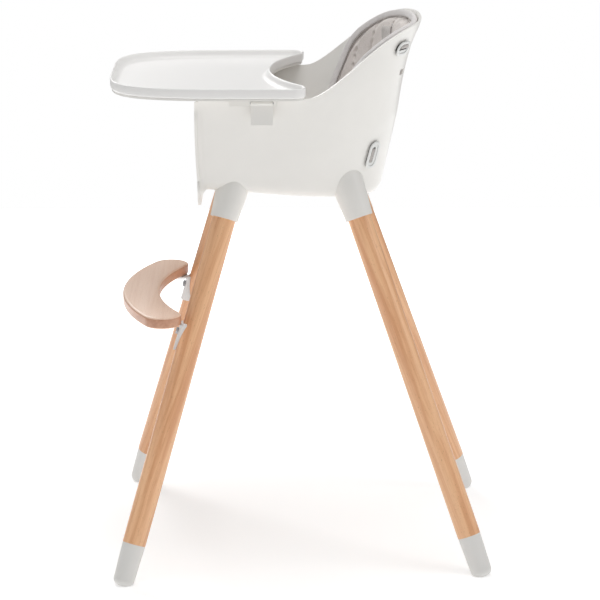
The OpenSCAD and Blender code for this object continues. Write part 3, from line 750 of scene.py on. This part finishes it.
def swell(obj, voxel, cap, pressure=4.0, frames=20):
    """Blows the piece up as cloth; no point moves further than cap."""
    remesh(obj, voxel)
    before = points_of(obj)
    cloth = obj.modifiers.new("cloth", "CLOTH")
    cloth.settings.quality = 5
    cloth.settings.mass = 0.15
    cloth.settings.use_pressure = True
    cloth.settings.uniform_pressure_force = pressure
    cloth.settings.effector_weights.gravity = 0
    cloth.point_cache.frame_start = 1
    cloth.point_cache.frame_end = frames
    scene = bpy.context.scene
    for step in range(1, frames + 1):
        scene.frame_set(step)
    apply_all(obj)
    scene.frame_set(1)
    moved = points_of(obj) - before
    size = np.maximum(np.linalg.norm(moved, axis=1, keepdims=True), 1e-9)
    put_points(obj, before + moved * np.minimum(1, cap / size))
    finer = obj.modifiers.new("finer", "SUBSURF")
    finer.levels = 1
    finer.render_levels = 1
    apply_all(obj)


def groove(distance, depth, width):
    """Depth of a sewn groove with soft sides at a distance from its middle."""
    return depth * np.exp(-(distance / width) ** 2)


def puckered(along, share, pitch, phase=0):
    """Factor that makes a seam deeper and shallower by a share, once in every pitch along it."""
    return 1 + share * np.sin(along * TAU / pitch + phase)


def nearest(points, path):
    """Distance from each point to a path, and how far along the path its nearest point is."""
    path = np.array(path)
    along = np.concatenate([[0], np.cumsum(np.linalg.norm(np.diff(path, axis=0), axis=1))])
    best = np.full(len(points), np.inf)
    where = np.zeros(len(points))
    for a, b, s in zip(path[:-1], path[1:], along[:-1]):
        run = b - a
        size = max(np.linalg.norm(run), 1e-9)
        t = np.clip((points - a) @ run / size ** 2, 0, 1)
        d = np.linalg.norm(points - a - t[:, None] * run, axis=1)
        closer = d < best
        best[closer] = d[closer]
        where[closer] = s + t[closer] * size
    return best, where


def sweep(name, path, normals, section, material, closed=False, body="chair"):
    """Carries a flat section (across, outward) along a path; the map "weave" is along and around it."""
    n = len(path)
    rings, flat, run = [], [], 0.0
    girth = [0.0]
    for a, b in zip(section, section[1:] + section[:1]):
        girth.append(girth[-1] + math.dist(a, b))
    for i in range(n):
        last = path[i - 1] if closed or i else path[0]
        following = path[(i + 1) % n] if closed or i < n - 1 else path[-1]
        way = (following - last).normalized()
        across = way.cross(normals[i]).normalized()
        out = across.cross(way)
        rings.append([path[i] + across * a + out * b for a, b in section])
        run += (path[i] - path[i - 1]).length if i else 0
        flat += [(run, g) for g in girth[:-1]]
    if closed:
        rings.append(rings[0])
        flat += [(run + (path[0] - path[-1]).length, g) for g in girth[:-1]]
    verts, faces = skin(rings, caps=not closed)
    obj = new_object(name, verts, faces)
    obj.data.materials.append(MAT[material])
    weave_map(obj, flat)
    tidy(obj, 50)
    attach(obj, body)
    return obj


def oval(width, thick, power=2.6, steps=20):
    """A section with round edges and flat faces."""
    out = []
    for a in np.linspace(0, TAU, steps, endpoint=False):
        c, s = math.cos(a), math.sin(a)
        out.append((width / 2 * math.copysign(abs(c) ** (2 / power), c),
                    thick / 2 * math.copysign(abs(s) ** (2 / power), s)))
    return out


THREAD_SIDES = 6
# Each ring of a stitch: its share of the length, its size, and its lift in radii.
THREAD_SHAPE = ((0, 0.45, -0.5), (0.2, 1, 0.45), (0.8, 1, 0.45), (1, 0.45, -0.5))


def stitches(name, path, normals, length=0.0030, gap=0.0013, r=0.00042,
             material="thread"):
    """A row of thread stitches that lie on a path."""
    verts, faces = [], []
    path = [Vector(p) for p in path]
    run = [0.0]
    for a, b in zip(path, path[1:]):
        run.append(run[-1] + (b - a).length)

    def at(s):
        i = int(np.clip(np.searchsorted(run, s) - 1, 0, len(path) - 2))
        t = (s - run[i]) / max(run[i + 1] - run[i], 1e-9)
        return path[i].lerp(path[i + 1], t), Vector(normals[i]).normalized()

    s = gap
    while s + length < run[-1]:
        (a, out), (b, _) = at(s), at(s + length)
        way = (b - a).normalized()
        across = way.cross(out).normalized()
        base = len(verts)
        rings = []
        for t, size, lift in THREAD_SHAPE:
            mid = a.lerp(b, t) + out * r * lift
            rings.append([mid + (across * math.cos(k) + out * math.sin(k) * 0.8) * r * size
                          for k in np.linspace(0, TAU, THREAD_SIDES, endpoint=False)])
        stitch_verts, stitch_faces = skin(rings)
        verts += stitch_verts
        faces += [tuple(base + corner for corner in face) for face in stitch_faces]
        s += length + gap
    obj = piece(name, verts, faces, material, smooth=0)
    weave_map(obj, [(v.co.x, v.co.z) for v in obj.data.vertices])
    return obj


# ---- back pad
PAD_BACK = WALL + 0.0015
PAD_T = 0.010
BACK_INSET = PAD_BACK + PAD_T
PAD_LOW = 0.634
PAD_OVER_RIM = -0.003
PAD_MIDDLE = (PAD_BACK + BACK_INSET) / 2
TURN_PER_METRE = 330     # degrees for each metre by which the wings' front edge is trimmed
WING_TURNS = (14, 33)    # turns of the wings' front edge at the pad's foot and at its top
BIND_W = 0.0112
SEAM_TURNS = (31.5, 39.5, 50.5, 65, 80)


def rim_of(turn):
    return Ray(turn=turn).rim()


def pad_edge_turn(v):
    """Turn of the wings' front edge at a share of the pad's height, with a round upper corner."""
    corner_from, corner_turn = 0.93, 4
    corner = clamp((v - corner_from) / 0.07)
    return mix(*WING_TURNS, v ** 1.3) + corner_turn * (1 - math.sqrt(1 - corner ** 2))


def pad_point(turn, v, inset, trim=0.0):
    top = rim_of(turn) + PAD_OVER_RIM - trim
    return round_point(turn, mix(PAD_LOW, top, v), inset)


def pad_edge(inset, trim):
    """The edge of the pad from the foot of the left wing, over the top, to the foot of the right one."""
    half = []
    for v in np.linspace(0.0, 1, 44) ** 0.8:
        half.append(pad_point(pad_edge_turn(v) + trim * TURN_PER_METRE, v, inset, trim))
    for turn in np.linspace(pad_edge_turn(1) + trim * TURN_PER_METRE, 90, 44)[1:]:
        half.append(pad_point(turn, 1, inset, trim))
    return half + [Vector((-p.x, p.y, p.z)) for p in reversed(half[:-1])]


def wall_normal(p):
    """Inward direction of the shell's wall near a point."""
    d = Vector((p.x, (p.y - TURN_Y) * 0.8, 0)).normalized()
    return Vector((-d.x, -d.y, 0.28)).normalized()


def inset_of(points):
    """How far points are in from the shell's outside, measured in plan, and their turns."""
    z = points[:, 2]
    side, back, power = side_at(z), back_at(z), square_at(z)
    x, y = np.abs(points[:, 0]), np.maximum(points[:, 1] - TURN_Y, 0)
    low, high = np.zeros(len(z)), np.full(len(z), 0.07)
    for _ in range(22):
        mid = (low + high) / 2
        outside = (x / (side - mid)) ** power + (y / (back - mid - TURN_Y)) ** power > 1
        high[outside] = mid[outside]
        low[~outside] = mid[~outside]
    sine = (y / (back - low - TURN_Y)) ** (power / 2)
    cosine = (x / (side - low)) ** (power / 2)
    return low, np.degrees(np.arctan2(sine, cosine))


def at_inset(points, inset, turn):
    """The points moved to another inset at the same turn and height."""
    z = points[:, 2]
    side, back, power = side_at(z), back_at(z), 2 / square_at(z)
    c, s = np.cos(np.radians(turn)), np.sin(np.radians(turn))
    x = np.sign(points[:, 0]) * (side - inset) * np.maximum(c, 0) ** power
    y = TURN_Y + (back - inset - TURN_Y) * np.maximum(s, 0) ** power
    return np.stack([x, y, z], axis=1)


def build_back_pad():
    """The cushion, blown up as cloth; it thins towards its edge, where the binding holds it."""
    inside_binding = 0.0015
    rows = []
    for v in np.linspace(0, 1, 34):
        edge_turn = pad_edge_turn(v)
        half = [[], []]
        for u in np.linspace(0, 1, 40):
            turn = mix(90, edge_turn, u)
            rim = min(1 - u, (1 - v) * 1.4, v * 1.4 + 0.05)
            full = ease(rim / 0.12)
            back, front = mix(0.0022, 0.0004, full), mix(0.0050, 0.0014, full)
            half[0].append(pad_point(turn, v, PAD_BACK + back, inside_binding))
            half[1].append(pad_point(turn, v, BACK_INSET - front, inside_binding))
        rows.append([both_halves(half[0]), both_halves(half[1])])
    rings = [row[0] + row[1][::-1] for row in rows]
    verts, faces = skin(rings)
    pad = piece("back_cushion", verts, faces, "pad", smooth=0)
    swell(pad, 0.004, 0.005)
    shape_back_pad(pad)
    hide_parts("back_pad")
    trim_back_pad()


def sag(turn, below_rim):
    """How far the cushion falls away from the shell near the rim, from 0 to 1."""
    middle, spread, height = 58, 11, 0.040
    return np.exp(-((turn - middle) / spread) ** 2) * clamp(1 - below_rim / height)


def shape_back_pad(pad):
    """Holds the cushion off the shell, and sews its channels and its edge."""
    pts = points_of(pad)
    inset, turn = inset_of(pts)
    edge = np.array([tuple(p) for p in pad_edge(PAD_MIDDLE, 0.0)])
    from_edge, along = nearest(pts, edge)
    front = np.clip((inset - PAD_BACK - 0.35 * PAD_T) / (0.4 * PAD_T), 0, 1)
    radius = np.hypot(pts[:, 0], pts[:, 1] - TURN_Y)
    sewn = np.zeros(len(pts))
    for seam in SEAM_TURNS:
        across = np.radians(np.abs(turn - seam)) * radius
        pucker = puckered(pts[:, 2], share=0.35, pitch=0.013, phase=seam)
        sewn = np.maximum(sewn, groove(across, depth=0.0040 * pucker, width=0.0030))
        sewn = np.maximum(sewn, groove(across, depth=0.0016, width=0.0095))
    collar = groove(from_edge - BIND_W, depth=0.0012, width=0.0024)
    sewn = np.maximum(sewn, collar * puckered(along, share=0.25, pitch=0.011))
    ripple = 0.0006 * np.sin(pts[:, 2] * TAU / 0.047 + turn * 0.22) * np.sin(turn * 0.31 + 1.3)
    inset = inset + (ripple - sewn) * front
    inset = np.clip(inset, PAD_BACK - 0.0003, BACK_INSET + 0.0025)
    some_turns = np.arange(0, 91, 2.5)
    rims = np.interp(turn, some_turns, [rim_of(t) for t in some_turns])
    inset = inset + 0.0028 * sag(turn, rims - pts[:, 2]) * (1 - front * 0.5)
    pts = at_inset(pts, inset, turn)
    put_points(pad, pts)
    mean_r = 0.16
    round_back = np.sign(pts[:, 0]) * np.radians(90 - turn) * mean_r
    weave_map(pad, np.stack([round_back, pts[:, 2]], axis=1))
    pad.data.shade_smooth()


def sagged(path):
    """The path moved off the shell where the cushion sags."""
    pts = np.array([tuple(p) for p in path])
    inset, turn = inset_of(pts)
    below = np.array([rim_of(t) for t in turn]) - pts[:, 2]
    return [Vector(p) for p in at_inset(pts, inset + 0.0024 * sag(turn, below), turn)]


def trim_back_pad():
    """Binds the cushion's edge, and sews its edge seam and its channels."""
    path = sagged(pad_edge(PAD_MIDDLE, 0.0036))
    normals = [wall_normal(p) for p in path]
    bind = sweep("back_cushion_binding", path, normals, oval(BIND_W, PAD_T - 0.0022, 3.6, 28), "binding")
    line = sagged(pad_edge(BACK_INSET - 0.0012, BIND_W - 0.0008))
    stitches("back_cushion_seam", line, [wall_normal(p) for p in line], r=0.00050, gap=0.0004)
    for number, turn in enumerate(SEAM_TURNS, 1):
        share = 1.0
        while pad_edge_turn(share) + 3.2 > turn:
            share -= 0.01
        top = mix(PAD_LOW, rim_of(turn), share) - 0.008 * clamp((share - 0.9) / 0.1)
        for side, flip in SIDES:
            heights = np.linspace(PAD_LOW + 0.012, top, 40)
            seam = [flip @ round_point(turn, z, BACK_INSET - 0.0042) for z in heights]
            stitches(f"back_cushion_channel_{number}_{side}", seam, [wall_normal(p) for p in seam],
                     r=0.00024, length=0.0024, gap=0.0004, material="channel")


# ---- seat pad
SEAT_T = 0.014
SEAT_GAP = 0.0004
SEAT_HALF_W = 0.086
SEAT_FRONT = -0.112
SEAT_MID = -0.030        # y where the seat pad is widest
SEAT_BACK = 0.104
SEAT_SEAM = 0.024        # how far the seam runs inside the edge


def seat_outline(inset):
    """Outline of the seat pad in plan, anticlockwise from the middle of its front edge."""
    w = SEAT_HALF_W - inset
    half = [(0.0, SEAT_FRONT + inset)]
    for a in np.radians(np.arange(86, 0, -4)):
        half.append((w * math.cos(a) ** 0.4, mix(SEAT_MID, SEAT_FRONT + inset, math.sin(a) ** 0.4)))
    for a in np.radians(np.arange(0, 91, 4.5)):
        x = w * math.cos(a) ** 0.9 if a < 1.57 else 0.0
        half.append((x, mix(SEAT_MID, SEAT_BACK - inset, math.sin(a) ** 0.9)))
    return half + [(-x, y) for x, y in reversed(half[1:-1])]


def build_seat_pad():
    place = pan_frame(0)
    profile = ((0.0075, 0.0018), (0.0045, 0.0030), (0.0035, 0.0058), (0.0045, 0.0086),
               (0.0075, 0.0102))
    verts, faces = skin(stacked(seat_outline, profile, place))
    pad = piece("seat_cushion", verts, faces, "pad", smooth=0)
    swell(pad, 0.0045, 0.006)
    shape_seat_pad(pad, place)
    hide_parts("seat_pad")
    middle = [place @ Vector((x, y, SEAT_GAP + SEAT_T * 0.45)) for x, y in seat_outline(0.0028)]
    up = [place.to_3x3() @ Vector((0, 0, 1))] * len(middle)
    piping = sweep("seat_cushion_piping", middle, up, oval(0.0048, 0.0048, 2, 14), "binding",
                   closed=True)
    line = [place @ Vector((x, y, SEAT_T - 0.0022)) for x, y in seat_outline(SEAT_SEAM)]
    stitches("seat_cushion_seam", line + line[:1], up + up[:1], r=0.0004)


def shape_seat_pad(pad, place):
    """Rests the cushion flat on the pan, and sews the line that runs inside its edge."""
    local = np.array([tuple(place.inverted() @ Vector(p)) for p in points_of(pad)])
    line = [(x, y, SEAT_T) for x, y in seat_outline(SEAT_SEAM)]
    flat = local * (1, 1, 0) + (0, 0, SEAT_T)
    across, along = nearest(flat, line + line[:1])
    top = np.clip((local[:, 2] - 0.006) / 0.004, 0, 1)
    pucker = puckered(along, share=0.3, pitch=0.012)
    sewn = np.maximum(groove(across, depth=0.0032 * pucker, width=0.003),
                      groove(across, depth=0.0014, width=0.010))
    reach = np.hypot(local[:, 0] / SEAT_HALF_W, (local[:, 1] + 0.004) / 0.108)
    rise = 0.0016
    crown = rise * np.clip(1 - reach ** 2, 0, 1)
    local[:, 2] = np.clip(local[:, 2] + (crown - sewn) * top, SEAT_GAP, SEAT_GAP + SEAT_T + rise)
    put_points(pad, np.array([tuple(place @ Vector(p)) for p in local]))
    weave_map(pad, local[:, :2] + local[:, 2:] * 0.7)
    pad.data.shade_smooth()


# ---- harness
STRAP_T = 0.0016
BUCKLE_Y = 0.002
BUCKLE_L = 0.052
SHOULDER_PLATE = (0.041, 0.026)
WAIST_PLATE = (0.050, 0.025)
CROTCH_PLATE = (0.042, 0.024)
PLATE_SLOT = (0.029, 0.0055)
LIP_SLOT = (0.031, 0.006)    # the sewn slots in the pads


def in_from_wall(place, depth):
    return wall_frame(*place, depth).translation


def above_pan(x, y, h):
    return Vector((x, y, pan_at(y) + WALL + SEAT_GAP + SEAT_T + h))


def before_back(turn, z, h):
    return round_point(turn, z, BACK_INSET + h)


def across_back(turn, z):
    return -(wall_frame(turn, z).to_3x3() @ Vector((1, 0, 0)))


def bend(points, w0, w1, steps=28):
    """Stops along a soft curve over four points; the strap's width turns from w0 to w1."""
    p, a, b, q = points
    out = []
    for t in np.linspace(0, 1, steps):
        u = 1 - t
        place = p * u ** 3 + a * 3 * u * u * t + b * 3 * u * t * t + q * t ** 3
        out.append((place, w0.lerp(w1, ease(t))))
    return out


def even(stops, step=0.004):
    """The same route with stops at even steps, softened."""
    path = np.array([tuple(p) for p, _ in stops])
    wide = np.array([tuple(w) for _, w in stops])
    run = np.concatenate([[0], np.cumsum(np.linalg.norm(np.diff(path, axis=0), axis=1))])
    marks = np.linspace(0, run[-1], max(int(run[-1] / step), 4))
    fine = np.stack([np.interp(marks, run, path[:, k]) for k in range(3)], axis=1)
    turn = np.stack([np.interp(marks, run, wide[:, k]) for k in range(3)], axis=1)
    for _ in range(6):
        fine[1:-1] = fine[1:-1] / 2 + (fine[:-2] + fine[2:]) / 4
        turn[1:-1] = turn[1:-1] / 2 + (turn[:-2] + turn[2:]) / 4
    return [(Vector(p), Vector(w)) for p, w in zip(fine, turn)]


def normals_along(path, wides):
    """Directions square to a path and to the width direction at each of its points."""
    last = len(path) - 1
    ways = [path[min(i + 1, last)] - path[max(i - 1, 0)] for i in range(len(path))]
    return [wide.cross(way).normalized() for wide, way in zip(wides, ways)]


def webbing(name, stops, nodes):
    """A flat woven strap with thick edges, along stops of place and width direction.

    Gives its path and its width directions."""
    stops = even(stops)
    path = [p for p, _ in stops]
    wides = [w for _, w in stops]
    normals = normals_along(path, wides)
    half = STRAP_T / 2
    half_w = STRAP_W / 2
    side = [(half_w, 0), (half_w - 0.0004, half), (half_w - 0.0018, half * 1.1),
            (half_w - 0.0024, half * 0.75), (STRAP_W / 6, half * 0.8)]
    section = side + [(-x, y) for x, y in reversed(side[1:])] + [(-half_w, 0)]
    section += [(-x, -y) for x, y in side[1:]] + [(x, -y) for x, y in reversed(side[1:])]
    strap = sweep(name, path, normals, section, "webbing")
    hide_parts(*nodes)
    for edge in (-1, 1):
        row = [p + w.normalized() * edge * (half_w - 0.0050) + n * half * 0.9
               for (p, w), n in zip(stops, normals)]
        stitches(f"{name}_stitch_{'near' if edge > 0 else 'far'}", row[-9:], normals[-9:],
                 length=0.0024, gap=0.0010, r=0.00035)
    return path, wides


def mirrored(stops, flip):
    m = flip.to_3x3()
    return [(flip @ p, m @ w) for p, w in stops]


def shoulder_route():
    across = across_back(*SHOULDER)
    depths = (-0.001, BACK_INSET + 0.0015, BACK_INSET + 0.005)
    stops = [(in_from_wall(SHOULDER, depth), across) for depth in depths]
    for z in np.arange(0.842, 0.690, -0.0125):
        up = (z - 0.692) / 0.150
        turn = mix(80, 66, up)
        stops.append((before_back(turn, z, mix(0.003, 0.0055, up)), across_back(turn, z)))
    low = across_back(80.5, 0.678)
    curve = (before_back(80.5, 0.678, 0.0035), before_back(81, 0.652, 0.006), above_pan(0.031, 0.076, 0.005),
             above_pan(0.024, 0.044, 0.007))
    return stops + bend(curve, low, Vector((0.8, 0.2, 0)))


def waist_route():
    up = Vector((0, 0, 1))
    stops = [(in_from_wall(WAIST, -0.001), up), (in_from_wall(WAIST, BACK_INSET + 0.002), up)]
    curve = (in_from_wall(WAIST, BACK_INSET + 0.009), in_from_wall(WAIST, BACK_INSET + 0.034),
             above_pan(0.072, 0.030, 0.008), above_pan(0.045, 0.012, 0.007))
    return stops + bend(curve, up, Vector((0.1, 0.8, 0.2)))


def crotch_route():
    level = Vector((1, 0, 0))
    under = -SEAT_T - SEAT_GAP - WALL - 0.006
    stops = [(above_pan(0, CROTCH_Y - 0.001, under), level), (above_pan(0, CROTCH_Y, 0.002), level)]
    curve = (above_pan(0, CROTCH_Y + 0.002, 0.006), above_pan(0, CROTCH_Y + 0.008, 0.014),
             above_pan(0, -0.038, 0.009), above_pan(0, BUCKLE_Y - BUCKLE_L / 2 + 0.001, 0.007))
    return stops + bend(curve, level, level, 20)


def adjuster(name, place, way, wide):
    """A slide with three bars, centred on the strap."""
    out = wide.cross(way).normalized()
    side = way.cross(out).normalized()
    m = Matrix((side, way.normalized(), out)).transposed().to_4x4()
    m.translation = place
    length, width, corner = 0.034, 0.021, 0.004

    def outline(inset):
        return rounded_box(length - 2 * inset, width - 2 * inset, corner)

    profile = ((0.0008, -0.0019), (0.0, -0.0011), (0.0, 0.0011), (0.0008, 0.0019))
    verts, faces = skin(stacked(outline, profile, m))
    slide = piece(name, verts, faces, "buckle", smooth=40)
    hole = rounded_box(0.0265, 0.0042, 0.001)
    from_middle = 0.0050
    cut(slide, [loose_block(hole, m @ Matrix.Translation((0, s * from_middle, 0)), 0.01) for s in (-1, 1)])
    tidy(slide, 40)
    bevel(slide, 0.0004, 2)


def rounded_box(length, width, r, steps=6):
    """Outline of a box with round corners, anticlockwise."""
    out = []
    for quarter, (x, y) in enumerate(((1, 1), (-1, 1), (-1, -1), (1, -1))):
        corner_x, corner_y = x * (length / 2 - r), y * (width / 2 - r)
        for a in np.linspace(0, math.pi / 2, steps):
            turn = a + quarter * math.pi / 2
            out.append((corner_x + r * math.cos(turn), corner_y + r * math.sin(turn)))
    return out


def buttonhole(name, matrix, length, width):
    """The sewn lip of a slot in a pad."""
    path = [matrix @ Vector((x, y, 0)) for x, y in stadium(length, width, 14)]
    normals = [matrix.to_3x3() @ Vector((0, 0, 1))] * len(path)
    lip = sweep(name, path, normals, oval(0.0030, 0.0016, 2, 10), "binding", closed=True)


def build_anchor(name, matrix, length, width, node):
    """An oval plate that stands off the shell on a black ring, painted shadow under the plate's edge, with a
    strap fold in its slot.
    """

    def outline(inset):
        return stadium(length - 2 * inset, width - 2 * inset, 16)

    # The black ring under the plate stands in for the shadow gap under its edge: painted shadow.
    verts, faces = skin(stacked(outline, ((0.003, -0.0022), (0.003, 0.0024)), matrix))
    painted_shadow_ring = piece(f"{name}_gasket", verts, faces, "glide", smooth=40)
    profile = ((0.0007, 0.0024), (0.0, 0.0031), (0.0, 0.0040), (0.0008, 0.0049), (0.0020, 0.0051))
    verts, faces = skin(stacked(outline, profile, matrix))
    plate = piece(f"{name}_plate", verts, faces, "anchor", smooth=40)
    deep = Matrix.Translation((0, 0, 0.0086))
    cut(plate, [loose_block(stadium(length - 0.010, width - 0.010, 14), matrix @ deep, 0.010),
                loose_block(stadium(*PLATE_SLOT), matrix, 0.03)])
    tidy(plate, 40)
    bevel(plate, 0.0004, 2)
    cut(painted_shadow_ring, [loose_block(stadium(*PLATE_SLOT), matrix, 0.03)])
    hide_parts(node)
    fold = [matrix @ Vector((0, y, z)) for y, z in fold_path()]
    across = matrix.to_3x3() @ Vector((1, 0, 0))
    normals = normals_along(fold, [across] * len(fold))
    sweep(f"{name}_fold", fold, normals, oval(STRAP_W, 0.0014, 5, 24), "webbing")


def fold_path():
    """The strap's turn round the plate's bar, across the slot and outwards."""
    bar_y, bar_z = 0.0036, 0.0030
    bar = [(bar_y + 0.0030 * math.cos(a), bar_z + 0.0026 * math.sin(a))
           for a in np.linspace(math.pi, 0, 14)]
    return [(0.0006, -0.0030), (0.0006, 0.0)] + bar + [(0.0068, bar_z)]


def build_harness():
    for side, flip in SIDES:
        shoulder = flip @ wall_frame(*SHOULDER)
        waist = flip @ wall_frame(*WAIST) @ QUARTER
        path, wide = webbing(f"shoulder_webbing_{side}", mirrored(shoulder_route(), flip),
                             [f"shoulder_strap_{side}"])
        k = len(path) // 2
        adjuster(f"shoulder_adjuster_{side}", path[k], path[k + 1] - path[k - 1], wide[k])
        path, wide = webbing(f"waist_webbing_{side}", mirrored(waist_route(), flip),
                             [f"waist_strap_{side}"])
        k = int(len(path) * 0.68)
        adjuster(f"waist_adjuster_{side}", path[k], path[k + 1] - path[k - 1], wide[k])
        on_pad = BACK_INSET + 0.0006
        buttonhole(f"shoulder_slot_lip_{side}", flip @ wall_frame(*SHOULDER, on_pad), *LIP_SLOT)
        buttonhole(f"waist_slot_lip_{side}", flip @ wall_frame(*WAIST, on_pad) @ QUARTER, *LIP_SLOT)
        build_anchor(f"shoulder_anchor_{side}", shoulder, *SHOULDER_PLATE, f"shoulder_anchor_{side}")
        build_anchor(f"waist_anchor_{side}", waist, *WAIST_PLATE, f"waist_anchor_{side}")
    webbing("crotch_webbing", crotch_route(), ["crotch_strap"])
    under_pan = pan_frame(CROTCH_Y, -WALL) @ Matrix.Rotation(math.pi, 4, "X")
    build_anchor("crotch_anchor", under_pan, *CROTCH_PLATE, "crotch_anchor")
    buttonhole("crotch_slot_lip", pan_frame(CROTCH_Y, SEAT_GAP + SEAT_T + 0.0004), *LIP_SLOT)


# ---- CAD nodes that stay
# Radius along the edges of the CAD nodes whose names start so.
ROUNDED = {"tray_latch": 0.0006, "tray_carrier": 0.0006, "footrest_bracket": 0.0006, "leg_socket": 0.0005,
           "buckle_body": 0.0005, "buckle_button": 0.0008, "buckle_tongue": 0.0003, "crotch_post": 0.0006,
           "foot_front": 0.0005, "foot_rear": 0.0005, "tray_rail": 0.0005}


def round_edges():
    """Moulded pieces have small radii along their edges."""
    for name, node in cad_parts.items():
        for start, radius in ROUNDED.items():
            if name.startswith(start) and "screw" not in name:
                bevel(node, radius, 2)


# The finish of a CAD node is that of the first word here that its name holds.
FINISHES = (("foot_glides", "glide"), ("foot_", "foot"), ("socket", "shell"), ("screw", "zinc"),
            ("bolt", "zinc"), ("pin", "zinc"), ("bracket", "bracket"), ("tray_rail", "shell"),
            ("crotch_post", "shell"), ("tray_carrier", "shell"), ("tray_latch", "shell"),
            ("anchor", "anchor"), ("buckle_button", "button"), ("buckle", "buckle"),
            ("strap", "webbing"), ("pad", "pad"))


def dress_cad_nodes():
    for name in LEGS:
        MAT[name] = beech(name + "_beech", leg_line(name), WOOD_LIGHT, WOOD_DARK)
        paint(name, name)
    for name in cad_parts:
        finish = next((finish for word, finish in FINISHES if word in name), None)
        if finish:
            paint(name, finish)


set_camera()
set_light()
set_floor()
build_shell()
build_tray()
build_footrest()
build_back_pad()
build_seat_pad()
build_harness()
dress_cad_nodes()
round_edges()
